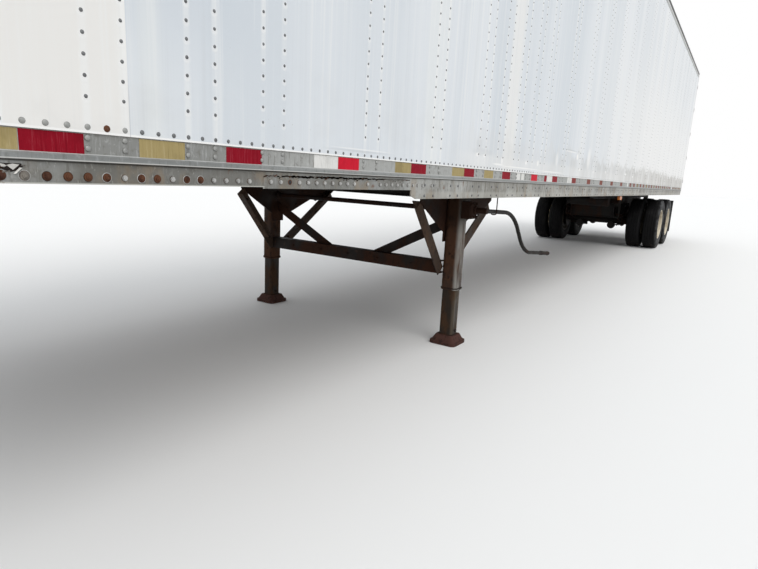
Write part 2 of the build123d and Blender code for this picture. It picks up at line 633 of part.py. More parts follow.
with BuildPart() as leaf_springs:
    for side in (-1, 1):
        for axle in AXLE_X:
            for leaf in range(3):
                half = SPRING_HALF - 110 * (2 - leaf)
                rise = 75.0 * (half / SPRING_HALF) ** 2
                base = SEAT_Z + LEAF_T * leaf
                with BuildSketch(
                    Plane(origin=(axle, side * SPRING_Y + SPRING_W / 2, base), x_dir=(1, 0, 0), z_dir=(0, -1, 0))
                ):
                    with BuildLine():
                        low_arc = ThreePointArc((-half, rise), (0, 0), (half, rise))
                        high_arc = ThreePointArc((-half, rise + LEAF_T), (0, LEAF_T), (half, rise + LEAF_T))
                        Line(low_arc @ 0, high_arc @ 0)
                        Line(low_arc @ 1, high_arc @ 1)
                    make_face()
                extrude(amount=SPRING_W)
            clamp_y = (side * SPRING_Y - 60, side * SPRING_Y + 60)
            block((axle - 98, axle + 98), clamp_y, (CLAMP_TOP - 22, CLAMP_TOP))
            block((axle - 98, axle + 98), clamp_y, (CLAMP_FOOT - 16, CLAMP_FOOT))
            for x in (axle - U_BOLT_X, axle + U_BOLT_X):
                for y in (side * SPRING_Y - U_BOLT_Y, side * SPRING_Y + U_BOLT_Y):
                    bar((x, y, CLAMP_FOOT - 40), (x, y, CLAMP_TOP + 30), U_BOLT_R)
                    bar((x, y, CLAMP_FOOT - 32), (x, y, CLAMP_FOOT - 16), U_BOLT_R + 5)
                    bar((x, y, CLAMP_TOP), (x, y, CLAMP_TOP + 16), U_BOLT_R + 5)
leaf_springs.part.label = "leaf_springs"
export_step(leaf_springs.part, "parts/leaf_springs.step")

with BuildPart() as equalizers:
    tip = SEAT_Z + 3 * LEAF_T + 75.0
    for side in (-1, 1):
        y = side * SPRING_Y
        outline(
            Plane(origin=(MID_X, y + 38, 0), x_dir=(1, 0, 0), z_dir=(0, -1, 0)),
            [(-190, tip), (-98, tip), (-60, tip - 20), (60, tip - 20), (98, tip), (190, tip), (190, tip + 16),
                (50, tip + 90), (-50, tip + 90), (-190, tip + 16)],
            76,
        )
        bar((MID_X, y - 42, tip + 45), (MID_X, y + 42, tip + 45), 25)
equalizers.part.label = "equalizers"
export_step(equalizers.part, "parts/equalizers.step")

with BuildPart() as radius_rods:
    for side in (-1, 1):
        y = side * SPRING_Y
        for hanger, axle in ((HANGER_X[0], AXLE_X[0]), (HANGER_X[1], AXLE_X[1])):
            bar((hanger, y, HANGER_Z), (axle - 101, y, ROD_EYE_Z), 17)
            bar((hanger, y - 42, HANGER_Z), (hanger, y + 42, HANGER_Z), ROD_EYE_R)
            bar((axle - 101, y - 30, ROD_EYE_Z), (axle - 101, y + 30, ROD_EYE_Z), ROD_EYE_R)
radius_rods.part.label = "radius_rods"
export_step(radius_rods.part, "parts/radius_rods.step")

with BuildPart() as axles:
    for x in AXLE_X:
        bar((x, -700, TYRE_R), (x, 700, TYRE_R), AXLE_R)
        bar((x, -1060, TYRE_R), (x, 1060, TYRE_R), SPINDLE_R)
        for side in (-1, 1):
            block((x - 75, x + 75), (side * SPRING_Y - 45, side * SPRING_Y + 45), (TYRE_R + 20, SEAT_Z))
            with BuildSketch(Plane(origin=(x, side * 640, TYRE_R), x_dir=(1, 0, 0), z_dir=(0, side, 0))):
                Circle(195)
            extrude(amount=6)
            bar((x - 74, side * SPRING_Y - 30, ROD_EYE_Z), (x - 60, side * SPRING_Y - 30, ROD_EYE_Z), 10)
axles.part.label = "axles"
export_step(axles.part, "parts/axles.step")

with BuildPart() as brake_chambers:
    for x in AXLE_X:
        for side in (-1, 1):
            y = side * CHAMBER_Y
            bar((x - 222, y, CHAMBER_Z), (x - 152, y, CHAMBER_Z), CHAMBER_R)
            bar((x - 152, y, CHAMBER_Z), (x - 140, y, CHAMBER_Z), CHAMBER_BAND_R)
            bar((x - 140, y, CHAMBER_Z), (x - 72, y, CHAMBER_Z), CHAMBER_LID_R)
            bar((x - 74, y, CHAMBER_Z), (x + 10, y, CHAMBER_Z), 9)
            block((x - 20, x + 20), (y - 12, y + 12), (CHAMBER_Z - 30, CLAMP_FOOT - 0.5))
            bar((x, y, CHAMBER_Z), (x, side * CAM_END, CHAMBER_Z), 14)
brake_chambers.part.label = "brake_chambers"
export_step(brake_chambers.part, "parts/brake_chambers.step")

with BuildPart() as air_tank:
    with BuildSketch(Plane(origin=(SLIDER_X[0] - 160, -380, 960), x_dir=(1, 0, 0), z_dir=(0, 1, 0))):
        Circle(115)
    extrude(amount=760)
    for y in (-250, 250):
        block((SLIDER_X[0] - 100, SLIDER_X[0] + 36), (y - 20, y + 20), (950, 970))
air_tank.part.label = "air_tank"
export_step(air_tank.part, "parts/air_tank.step")

# A tyre: one flat-faced sector of its outline, repeated round the axle.
# Half of the outline is given as radius and distance from its middle, from the bead to the tread
TYRE_OUTLINE = [(BEAD_R / FLAT, 118), (298, 118), (380, 140), (485, 131), (TYRE_R, 96)]
with BuildPart() as tyre_sector:
    outline(
        Plane(origin=(0, TYRE_R, 0), x_dir=(1, 0, 0), z_dir=(0, -1, 0)),
        [(r * FLAT, w) for r, w in TYRE_OUTLINE] + [(r * FLAT, -w) for r, w in reversed(TYRE_OUTLINE)],
        2 * TYRE_R,
    )
    outline(
        Plane.XY.offset(-200),
        [(0, 0), (2 * TYRE_R, -2 * TYRE_R * HALF_FLAT), (2 * TYRE_R, 2 * TYRE_R * HALF_FLAT)],
        400, Mode.INTERSECT,
    )
with BuildPart() as tyre:
    with PolarLocations(0, TYRE_SIDES):
        add(tyre_sector.part)

# Wheels: a dual pair at each end of both axles.
# The outlines are given as radius and outward offset from the plane where the two discs meet
HUB = [
    (0, 78), (SPINDLE_R + HUB_PLAY, 78), (SPINDLE_R + HUB_PLAY, -185), (88, -185), (88, -36), (165, -36),
    (165, -10), (95, -10), (95, 55), (80, 120), (0, 130),
]
DRUM = [(85, -50), (208, -50), (208, -285), (196, -285), (196, -62), (85, -62)]
DISC = [(94, 0), (172, 0), (262, 84), (281, 88), (281, 98), (256, 94), (170, 12), (94, 12)]
RIM = [
    (300, 126), (286, 118), (270, 40), (270, -10), (286, -118), (300, -126), (292, -126), (278, -116),
    (262, -8), (262, 38), (278, 116), (292, 126),
]
HAND_HOLE_PCD = 464.0
HAND_HOLE_R = 21.0
for axle, place in zip(AXLE_X, ("front", "rear")):
    for side, name in ((-1, "left"), (1, "right")):
        with BuildPart() as tyres:
            for dual in (-1, 1):
                with Locations(Location((axle, side * (DUAL_Y + dual * DUAL_PITCH / 2), TYRE_R), (90, 0, 0))):
                    add(tyre.part)
        tyres.part.label = f"{place}_{name}_tyres"
        export_step(tyres.part, f"parts/{place}_{name}_tyres.step")

        with BuildPart() as wheels:
            plane = Plane(origin=(axle, side * DUAL_Y, TYRE_R), x_dir=(0, 0, 1), z_dir=(-side, 0, 0))
            with BuildSketch(plane):
                for points in (HUB, DRUM):
                    with BuildLine():
                        Polyline(*points, close=True)
                    make_face()
                for dual in (-1, 1):
                    with BuildLine():
                        Polyline(*[(r, dual * w) for r, w in DISC], close=True)
                    make_face()
                    with BuildLine():
                        Polyline(*[(r, dual * (w + DUAL_PITCH / 2)) for r, w in RIM], close=True)
                    make_face()
            revolve(axis=Axis((axle, 0, TYRE_R), (0, 1, 0)))
            with BuildSketch(Plane(origin=(axle, side * DUAL_Y, TYRE_R), x_dir=(1, 0, 0), z_dir=(0, side, 0))):
                with PolarLocations(HAND_HOLE_PCD / 2, 10):
                    Circle(HAND_HOLE_R)
            extrude(amount=104, both=True, mode=Mode.SUBTRACT)
        wheels.part.label = f"{place}_{name}_wheels"
        export_step(wheels.part, f"parts/{place}_{name}_wheels.step")

with BuildPart() as rear_guard:
    block((X_TAIL - 110, X_TAIL - 10), (-1140, 1140), (510, 610))
    for side in (-1, 1):
        block((X_TAIL - 100, X_TAIL - 20), across(side, 440, 540), (610, RAIL_DEEP + 90))
rear_guard.part.label = "rear_guard"
export_step(rear_guard.part, "parts/rear_guard.step")

with BuildPart() as mud_flaps:
    x = SLIDER_X[1] + 20
    block((x, x + 40), (-1270, 1270), (955, 995))
    for side in (-1, 1):
        block((x + 12, x + 22), across(side, 660, 1270), (250, 960))
mud_flaps.part.label = "mud_flaps"
export_step(mud_flaps.part, "parts/mud_flaps.step")

# Doors, with their hinge straps and lock rods
for side, name in ((-1, "left"), (1, "right")):
    with BuildPart() as door:
        block((X_DOOR_FACE - DOOR_T, X_DOOR_FACE), across(side, DOOR_CENTRE, DOOR_OUTER), DOOR_Z)
    door.part.label = f"{name}_door"
    export_step(door.part, f"parts/{name}_door.step")

    with BuildPart() as hinges:
        for z in HINGE_Z:
            block((X_DOOR_FACE, HINGE_X - 7.2), across(side, 1090, DOOR_OUTER), (z - 32, z + 32))
            block((HINGE_X - 13.2, HINGE_X - 7.2), across(side, DOOR_OUTER, HINGE_Y), (z - 32, z + 32))
            with Locations((HINGE_X, side * HINGE_Y, z)):
                Cylinder(HINGE_EYE_R, KNUCKLE)
                Cylinder(HINGE_PIN_R + 0.05, KNUCKLE, mode=Mode.SUBTRACT)
    hinges.part.label = f"{name}_hinges"
    export_step(hinges.part, f"parts/{name}_hinges.step")

    with BuildPart() as lock_rods:
        for y in ROD_Y:
            bar((ROD_X, side * y, DOOR_Z[0] - 70), (ROD_X, side * y, DOOR_Z[1] + 70), ROD_R)
            for z in (DOOR_Z[0] + 60, 2000, 2700, DOOR_Z[1] - 60):
                block((X_DOOR_FACE, ROD_X + 20), (side * y - 32, side * y + 32), (z - 20, z + 20))
            for z in (DOOR_Z[0] - 72, DOOR_Z[1] + 58):
                block((X_TAIL + 8, ROD_X), (side * y - 11, side * y + 11), (z, z + 14))
            block(
                (ROD_X - 6, ROD_X + 6), across(side, y - 10, y + 380), (1560 + y / 8, 1590 + y / 8),
            )
    lock_rods.part.label = f"{name}_lock_rods"
    export_step(lock_rods.part, f"parts/{name}_lock_rods.step")
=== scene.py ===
import math
import random

import bmesh
import bpy
from bpy.props import FloatProperty, FloatVectorProperty, IntProperty, PointerProperty
from mathutils import Matrix, Vector, noise


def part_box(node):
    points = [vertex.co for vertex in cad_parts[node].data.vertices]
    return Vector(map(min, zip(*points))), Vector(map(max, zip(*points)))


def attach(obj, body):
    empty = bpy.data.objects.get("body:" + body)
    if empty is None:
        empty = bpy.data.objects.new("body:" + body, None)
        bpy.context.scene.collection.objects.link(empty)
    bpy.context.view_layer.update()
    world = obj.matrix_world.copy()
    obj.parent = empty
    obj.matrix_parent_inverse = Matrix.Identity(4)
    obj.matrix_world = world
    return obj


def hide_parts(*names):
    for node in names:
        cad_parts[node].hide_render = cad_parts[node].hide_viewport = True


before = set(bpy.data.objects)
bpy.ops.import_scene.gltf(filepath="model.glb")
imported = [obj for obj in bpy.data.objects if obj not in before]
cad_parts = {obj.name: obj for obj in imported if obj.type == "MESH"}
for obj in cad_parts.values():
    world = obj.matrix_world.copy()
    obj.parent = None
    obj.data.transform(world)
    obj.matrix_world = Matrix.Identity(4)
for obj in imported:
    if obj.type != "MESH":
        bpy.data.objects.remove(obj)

bl_info = {
    "name": "Dry van semi trailer",
    "version": (1, 0, 0),
    "blender": (4, 5, 0),
    "location": "View3D > Sidebar > Trailer",
    "description": "Sheets, rivets, rail tape, rust, tyres and fittings on a packed semi trailer",
    "category": "Object",
}

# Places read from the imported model, in metres
WALL_LOW, WALL_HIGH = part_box("left_side_wall")
NOSE_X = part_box("front_wall")[0].x
WALL_FRONT = WALL_LOW.x
WALL_REAR = WALL_HIGH.x
WALL_Y = -WALL_LOW.y
WALL_FOOT = WALL_LOW.z
WALL_HEAD = WALL_HIGH.z
RAIL_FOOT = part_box("left_bottom_rail")[0].z
TAIL_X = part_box("tail_frame")[1].x

# The sign of Y on each side, and the radius of the nose's upright corners
SIDES = ((-1, "left"), (1, "right"))
NOSE_RADIUS = 0.120

# The rail's faces, the step down in its foot, and the height of the foot ahead of the step
RAIL_WEB_Y = WALL_Y - 0.002
RAIL_SKIRT_Y = WALL_Y - 0.004
STEP_X = NOSE_X + 2.451
SHALLOW_Z = 1.186

# The splice plate over the rail ahead of the step: its front end, and how far it stands out
SPLICE_X = NOSE_X + 1.417
SPLICE_STAND = 0.0016

# The first post's distance behind the nose, the half pitches that have a post too, at the nose and over the
# landing gear, and the height of a post's lowest rivets
FIRST_POST = 0.800
CLOSE_POSTS = (1, 9, 11)
POST_FOOT = WALL_FOOT + 0.091


class SheetSettings(bpy.types.PropertyGroup):
    """Side sheets and their rivets."""

    sheet_width: FloatProperty(
        name="Sheet width", description="Width of one side sheet", default=1.2192, unit="LENGTH"
    )
    first_seam: FloatProperty(
        name="First seam", description="First side seam behind the nose", default=0.915, unit="LENGTH"
    )
    stand_off: FloatProperty(
        name="Stand off", description="How far the sheets stand off the wall", default=0.0021, unit="LENGTH"
    )
    post_pitch: FloatProperty(
        name="Post pitch", description="From one post to the next", default=0.6096, unit="LENGTH"
    )
    line_gap: FloatProperty(
        name="Line gap", description="Between the two rivet lines of a post", default=0.1016, unit="LENGTH"
    )
    rivet_pitch: FloatProperty(
        name="Rivet pitch", description="From rivet to rivet", default=0.0508, unit="LENGTH"
    )
    post_rivet: FloatProperty(
        name="Post rivet", description="Radius of a rivet head on a post", default=0.0058, unit="LENGTH"
    )
    edge_rivet: FloatProperty(
        name="Edge rivet", description="Radius of a rivet head along the foot", default=0.0070, unit="LENGTH"
    )
    head_height: FloatProperty(
        name="Head height", description="Height of a rivet head", default=0.0032, unit="LENGTH"
    )


class PaintSettings(bpy.types.PropertyGroup):
    """Main colours."""

    sheet: FloatVectorProperty(
        name="Sheets", description="Side and nose sheets", subtype="COLOR", size=3,
        default=(0.775, 0.815, 0.860),
    )
    front_sheet: FloatVectorProperty(
        name="Front sheet", description="The foremost side sheets", subtype="COLOR", size=3,
        default=(0.872, 0.864, 0.845),
    )
    rail: FloatVectorProperty(
        name="Rails", description="Bare aluminium rails", subtype="COLOR", size=3,
        default=(0.310, 0.318, 0.312),
    )
    rust: FloatVectorProperty(
        name="Rust", description="Rust on steel", subtype="COLOR", size=3, default=(0.070, 0.030, 0.019)
    )
    gear: FloatVectorProperty(
        name="Landing gear", description="Old black paint", subtype="COLOR", size=3,
        default=(0.014, 0.009, 0.007),
    )
    rubber: FloatVectorProperty(
        name="Tyres", description="Tyre rubber", subtype="COLOR", size=3, default=(0.0060, 0.0060, 0.0065)
    )
    wheel: FloatVectorProperty(
        name="Wheels", description="Painted wheels", subtype="COLOR", size=3, default=(0.620, 0.560, 0.440)
    )
    floor: FloatVectorProperty(
        name="Stage floor", description="The floor under the trailer", subtype="COLOR", size=3,
        default=(0.400, 0.390, 0.370),
    )


class TyreSettings(bpy.types.PropertyGroup):
    """Tyre and wheel detail."""

    steps: IntProperty(name="Steps", description="Steps round a tyre", default=192, min=32)
    groove_depth: FloatProperty(
        name="Groove depth", description="Depth of a tread groove", default=0.012, unit="LENGTH"
    )
    groove_width: FloatProperty(
        name="Groove width", description="Width of a tread groove", default=0.011, unit="LENGTH"
    )
    stud_circle: FloatProperty(
        name="Stud circle", description="Radius of the circle of wheel studs", default=0.1429, unit="LENGTH"
    )
    studs: IntProperty(name="Studs", description="Studs on a wheel", default=10, min=4)


class StageSettings(bpy.types.PropertyGroup):
    """Camera and light."""

    place: FloatVectorProperty(
        name="Camera place", description="Where the camera stands", subtype="TRANSLATION", size=3,
        default=(-8.0292, -2.7177, 1.2473),
    )
    yaw: FloatProperty(name="Yaw", description="Heading from the X axis", subtype="ANGLE", default=0.5876)
    pitch: FloatProperty(name="Pitch", description="Tilt above the level", subtype="ANGLE", default=-0.2015)
    roll: FloatProperty(name="Roll", description="Turn about the view axis", subtype="ANGLE", default=0.0501)
    focal: FloatProperty(name="Focal length", description="In picture widths", default=0.70431926)
    sky: FloatProperty(name="Sky", description="Strength of the light from all round", default=0.86)
    key: FloatProperty(name="Key", description="Strength of the soft key light", default=1.35)


# Finishes


class Graph:
    """Makes and links the nodes of a tree."""

    def __init__(self, tree):
        self.nodes = tree.nodes
        self.links = tree.links

    def put(self, socket, value):
        """Links an output to a socket, or sets the socket's own value. A colour gets its alpha."""
        if isinstance(value, bpy.types.NodeSocket):
            self.links.new(value, socket)
        elif socket.type == "RGBA":
            socket.default_value = (*value, 1)
        else:
            socket.default_value = value

    def node(self, kind, values=(), **properties):
        """A node with its properties, and with its inputs set or linked by name or number."""
        made = self.nodes.new(kind)
        for key, value in properties.items():
            setattr(made, key, value)
        for label, value in dict(values).items():
            self.put(made.inputs[label], value)
        return made

    def maths(self, operation, a, b=0.0):
        """What a Math node makes of one or two values."""
        return self.node("ShaderNodeMath", {0: a, 1: b}, operation=operation).outputs[0]

    def looked_at(self):
        """1 for rays from the camera, a mirror or glass, and 0 for the light that falls on things."""
        rays = self.nodes.new("ShaderNodeLightPath").outputs
        seen = self.maths("MAXIMUM", rays["Is Camera Ray"], rays["Is Glossy Ray"])
        return self.maths("MAXIMUM", seen, rays["Is Transmission Ray"])


class Coat(Graph):
    """One finish: layers of colour, roughness and height read from Object coordinates."""

    def __init__(self, name, colour, roughness, metallic=0.0, specular=0.5):
        self.material = bpy.data.materials.new(name)
        self.material.use_nodes = True
        self.material.diffuse_color = (*colour, 1)
        super().__init__(self.material.node_tree)
        self.shader = self.nodes["Principled BSDF"].inputs
        self.put(self.shader["Base Color"], colour)
        self.put(self.shader["Roughness"], roughness)
        self.put(self.shader["Metallic"], metallic)
        self.put(self.shader["Specular IOR Level"], specular)
        self.place = self.nodes.new("ShaderNodeTexCoord").outputs["Object"]
        self.axes = self.node("ShaderNodeSeparateXYZ", {0: self.place}).outputs
        self.colour = colour
        self.roughness = roughness
        self.normal = None

    def mapped(self, scale, shift=(0, 0, 0)):
        """Object coordinates, scaled and then shifted along the axes."""
        values = {"Vector": self.place, "Scale": scale, "Location": shift}
        return self.node("ShaderNodeMapping", values).outputs[0]

    def noise(self, scale, stretch=(1, 1, 1), detail=3.0, rough=0.55, shift=0.0):
        """A noise value from 0 to 1, stretched along the axes."""
        place = self.mapped(stretch, (shift, shift, shift))
        values = {"Vector": place, "Scale": scale, "Detail": detail, "Roughness": rough}
        return self.node("ShaderNodeTexNoise", values).outputs["Fac"]

    def cells(self, scale):
        """Distance to the nearest of scattered points."""
        return self.node("ShaderNodeTexVoronoi", {"Vector": self.place, "Scale": scale}).outputs["Distance"]

    def band(self, value, low, high):
        """0 below low, 1 above high, smooth between. With low above high it falls."""
        ends = (low, high, 0.0, 1.0) if low < high else (high, low, 1.0, 0.0)
        values = dict(zip(("From Min", "From Max", "To Min", "To Max"), ends))
        ramp = self.node("ShaderNodeMapRange", {"Value": value, **values}, interpolation_type="SMOOTHSTEP")
        return ramp.outputs["Result"]

    def ramp(self, axis, low, high):
        """A band along an axis, in metres."""
        return self.band(self.axes[axis], low, high)

    def behind(self, low, high):
        """A band along the trailer, in metres behind the nose."""
        return self.ramp("X", NOSE_X + low, NOSE_X + high)

    def outboard(self, low, high):
        """A band outwards from the trailer's middle, alike on both sides."""
        return self.band(self.maths("ABSOLUTE", self.axes["Y"]), low, high)

    def where(self, *amounts):
        """An amount only where all the given ones are: their product."""
        whole = amounts[0]
        for amount in amounts[1:]:
            whole = self.maths("MULTIPLY", whole, amount)
        return whole

    def steps(self, axis, start, pitch):
        """Distance along an axis from a start, counted in steps of a pitch."""
        return self.maths("DIVIDE", self.maths("SUBTRACT", self.axes[axis], start), pitch)

    def spot(self, x, z, wide, tall):
        """1 at a place on a side, falling to 0 at the edge of an oval about it."""
        inside = self.mapped((1 / wide, 0, 1 / tall), (-x / wide, 0, -z / tall))
        away = self.node("ShaderNodeVectorMath", {0: inside}, operation="LENGTH").outputs["Value"]
        return self.band(away, 1.0, 0.40)

    def chance(self, count):
        """A value from 0 to 1 that is the same all over one step of a count."""
        index = self.maths("FLOOR", count)
        return self.node("ShaderNodeTexWhiteNoise", {"W": index}, noise_dimensions="1D").outputs["Value"]

    def layer(self, colour, amount, strength=1.0):
        """Lays a colour over what is there, by an amount from 0 to 1."""
        if strength != 1.0:
            amount = self.maths("MULTIPLY", amount, strength)
        values = {"Factor": amount, "A": self.colour, "B": colour}
        self.colour = self.node("ShaderNodeMix", values, data_type="RGBA").outputs["Result"]
        self.put(self.shader["Base Color"], self.colour)

    def rough(self, roughness, amount):
        """Changes the roughness to another value, by an amount from 0 to 1."""
        values = {"Factor": amount, "A": self.roughness, "B": roughness}
        self.roughness = self.node("ShaderNodeMix", values).outputs["Result"]
        self.put(self.shader["Roughness"], self.roughness)

    def bump(self, height, depth, strength=1.0):
        """Raises the surface by height times depth, in metres."""
        values = {"Height": height, "Distance": depth, "Strength": strength}
        if self.normal is not None:
            values["Normal"] = self.normal
        self.normal = self.node("ShaderNodeBump", values).outputs["Normal"]
        self.put(self.shader["Normal"], self.normal)


def shade(colour, share):
    """A colour at a share of its strength, at most white."""
    return tuple(min(1.0, c * share) for c in colour)


# Painted highlights at dents and creases on the left side: distance behind the nose, height, half width, half
# height and how strong
DENT_HIGHLIGHTS = (
    (2.010, 1.3535, 0.290, 0.0040, 0.55), (3.222, 1.405, 0.030, 0.016, 0.90),
    (3.330, 1.404, 0.026, 0.014, 0.80), (3.636, 1.388, 0.020, 0.032, 0.95),
    (4.122, 1.396, 0.022, 0.022, 0.95), (4.400, 1.405, 0.030, 0.030, 0.95),
    (3.570, 1.3600, 0.120, 0.0080, 0.90), (4.020, 1.3530, 0.540, 0.0060, 0.85),
    (4.800, 1.3480, 0.430, 0.0070, 0.80), (4.551, 1.505, 0.020, 0.012, 0.80),
    (4.905, 1.460, 0.050, 0.075, 0.50), (5.340, 1.553, 0.260, 0.0090, 0.60),
    (5.578, 1.518, 0.045, 0.038, 0.95), (5.707, 1.403, 0.040, 0.018, 0.95),
    (6.030, 1.520, 0.080, 0.140, 0.60), (6.301, 1.405, 0.044, 0.018, 0.95),
    (6.910, 1.412, 0.050, 0.018, 0.95), (8.175, 1.425, 0.070, 0.018, 0.95),
    (8.764, 1.409, 0.080, 0.016, 0.90),
)

# Shaded marks on the left side, in the same columns
SHADED_MARKS = (
    (1.990, 1.3450, 0.300, 0.0060, 0.30), (3.235, 1.470, 0.060, 0.050, 0.22),
    (5.330, 1.5660, 0.290, 0.0070, 0.45), (5.605, 1.571, 0.030, 0.013, 0.55),
    (3.300, 1.425, 0.200, 0.030, 0.20),
)


def post_places(coat, sheets):
    """Distance to the nearest rivet line of a post, and where there is a post."""
    half_pitch = sheets.post_pitch / 2
    cells = coat.steps("X", NOSE_X + FIRST_POST - half_pitch / 2, half_pitch)
    grid = coat.maths("FRACT", cells)
    from_first = coat.maths("ABSOLUTE", coat.maths("SUBTRACT", grid, 0.5))
    from_second = coat.maths("ABSOLUTE", coat.maths("SUBTRACT", grid, 0.5 + sheets.line_gap / half_pitch))
    away = coat.maths("MULTIPLY", coat.maths("MINIMUM", from_first, from_second), half_pitch)
    number = coat.maths("FLOOR", cells)
    there = coat.maths("SUBTRACT", 1.0, coat.maths("MODULO", number, 2.0))
    for extra in CLOSE_POSTS:
        gap = coat.maths("ABSOLUTE", coat.maths("SUBTRACT", number, float(extra)))
        there = coat.maths("MAXIMUM", there, coat.maths("LESS_THAN", gap, 0.5))
    return away, there


def sheet_tones(coat, paint, sheets, clouds):
    """The sheets' whites: cloudy and cool near the nose, with painted shade high on the left there, paler
    aft, and the warm front sheet with a painted highlight along its edge at the seam.
    """
    seam = NOSE_X + sheets.first_seam
    coat.layer((0.630, 0.685, 0.745), coat.chance(coat.steps("X", seam, sheets.sheet_width)), 0.30)
    coat.layer((0.650, 0.705, 0.760), coat.band(clouds, 0.44, 0.62), 0.50)
    # Painted shade, darker and cooler, high on the left side near the nose
    shaded = coat.where(left_side(coat), coat.ramp("Z", 1.45, 1.75), coat.behind(1.7, 1.0))
    coat.layer((0.560, 0.625, 0.705), shaded, 0.40)
    coat.layer((0.83, 0.86, 0.86), coat.band(clouds, 0.42, 0.30), 0.50)
    aft = coat.behind(4.2, 10.5)
    coat.layer((0.885, 0.895, 0.905), aft, 0.45)
    coat.layer((0.915, 0.915, 0.912), coat.where(aft, coat.ramp("Z", 3.5, 1.9)), 0.85)
    coat.layer((0.925, 0.915, 0.890), coat.where(coat.behind(3.60, 3.68), coat.behind(3.88, 3.79)), 0.65)
    front = coat.ramp("X", seam + 0.002, seam - 0.002)
    coat.layer(paint.front_sheet, front)
    # Painted highlight along the front sheet's edge at its seam
    coat.layer((0.96, 0.96, 0.955), coat.where(front, coat.ramp("X", seam - 0.016, seam - 0.010)), 0.60)


def rivet_rings_and_highlights(coat, sheets):
    """A painted highlight down each post's rivet lines, and a ring round each of its rivets that is both a
    dent in the bump and a painted highlight.
    """
    away, there = post_places(coat, sheets)
    near = coat.where(coat.band(away, 0.016, 0.004), there)
    # Painted highlight along each post's rivet lines
    coat.layer((0.91, 0.925, 0.925), coat.where(near, coat.band(coat.noise(1.7), 0.30, 0.60)), 0.55)
    steps = coat.steps("Z", POST_FOOT - 0.006, sheets.rivet_pitch)
    nearest = coat.maths("SUBTRACT", coat.maths("FRACT", coat.maths("ADD", steps, 0.5)), 0.5)
    drop = coat.maths("MULTIPLY", nearest, sheets.rivet_pitch)
    squares = (coat.maths("MULTIPLY", length, length) for length in (away, drop))
    ring = coat.maths("SQRT", coat.maths("ADD", *squares))
    above_foot = coat.ramp("Z", POST_FOOT - 0.022, POST_FOOT - 0.018)
    ring_dent_and_highlight = coat.where(coat.band(ring, 0.015, 0.006), there, above_foot)
    # Painted highlight on the ring round each rivet, centred a little below it
    coat.layer((0.95, 0.955, 0.955), ring_dent_and_highlight, 0.48)
    return ring_dent_and_highlight


def low_reflection_and_dust(coat):
    """A painted reflection of the ground: a grey band that rises unevenly from the sheets' foot, thicker and
    browner aft, and dust over it.
    """
    ragged = coat.noise(3.6, (2.2, 1, 0.15), 5.0, 0.7)
    height = coat.maths("SUBTRACT", coat.axes["Z"], coat.maths("MULTIPLY", ragged, 0.55))
    # Painted reflection of the ground: grey, darker aft, paler near the foot and browner far aft
    film = coat.where(coat.band(height, 1.285, 1.235), coat.behind(2.75, 3.3))
    coat.layer((0.70, 0.705, 0.705), film, 0.25)
    far_reflection = coat.where(film, coat.behind(4.0, 5.6), coat.band(ragged, 0.62, 0.40))
    coat.layer((0.57, 0.58, 0.58), far_reflection, 0.50)
    coat.layer((0.85, 0.855, 0.85), coat.where(film, coat.ramp("Z", 1.445, 1.385)), 0.45)
    brown_reflection = coat.where(film, coat.behind(5.0, 12.5), coat.band(ragged, 0.76, 0.44))
    coat.layer((0.40, 0.38, 0.34), brown_reflection, 0.66)
    dust = coat.noise(2.2, (1, 1, 1.6), 5.0, 0.6)
    coat.layer((0.55, 0.54, 0.52), coat.where(coat.ramp("Z", 1.80, 1.34), coat.band(dust, 0.46, 0.70)), 0.16)


def left_side(coat):
    """1 on the left side and 0 on the right."""
    return coat.maths("LESS_THAN", coat.axes["Y"], 0.0)


def sheet_finish(name, paint, sheets):
    """White sheet: rain streaks, dimpled rivet rings, a painted reflection low down, painted highlights and
    shade.
    """
    coat = Coat(name, paint.sheet, 0.34)
    clouds = coat.noise(0.9, (3.4, 1, 0.20), 2.0)
    sheet_tones(coat, paint, sheets, clouds)
    streaks = coat.noise(6.0, (6, 6, 0.10), 4.0, 0.65)
    coat.layer((0.90, 0.915, 0.92), coat.band(streaks, 0.50, 0.72), 0.45)
    coat.layer((0.60, 0.63, 0.67), coat.band(streaks, 0.46, 0.26), 0.25)
    ring_dent_and_highlight = rivet_rings_and_highlights(coat, sheets)
    low_reflection_and_dust(coat)
    left = left_side(coat)
    # Painted shade, then painted highlights, at the dents and creases on the left side
    for colour, marks in (((0.48, 0.50, 0.51), SHADED_MARKS), ((0.97, 0.97, 0.965), DENT_HIGHLIGHTS)):
        for x, z, wide, tall, strength in marks:
            coat.layer(colour, coat.where(left, coat.spot(NOSE_X + x, z, wide, tall)), strength)
    coat.layer((0.985, 0.985, 0.980), coat.ramp("Z", 1.3235, 1.3220), 0.90)
    # Painted shadow of each sheet's lap along its seam, low on the sheets
    along_sheet = coat.maths("FRACT", coat.steps("X", NOSE_X + sheets.first_seam, sheets.sheet_width))
    lap = coat.where(coat.band(along_sheet, 0.0032, 0.0020), coat.ramp("Z", 1.48, 1.42))
    coat.layer((0.50, 0.52, 0.54), lap, 0.50)
    specks = coat.band(coat.cells(34.0), 0.085, 0.05)
    coat.layer((0.36, 0.32, 0.28), coat.where(specks, coat.band(coat.noise(3.0), 0.56, 0.66)), 0.35)
    coat.rough(0.52, coat.band(clouds, 0.35, 0.65))
    coat.bump(coat.noise(3.2, (1, 1, 0.35), 1.5), 0.0030, 0.45)
    coat.bump(streaks, 0.0004, 0.35)
    coat.bump(ring_dent_and_highlight, 0.0006, 0.40)
    return coat.material


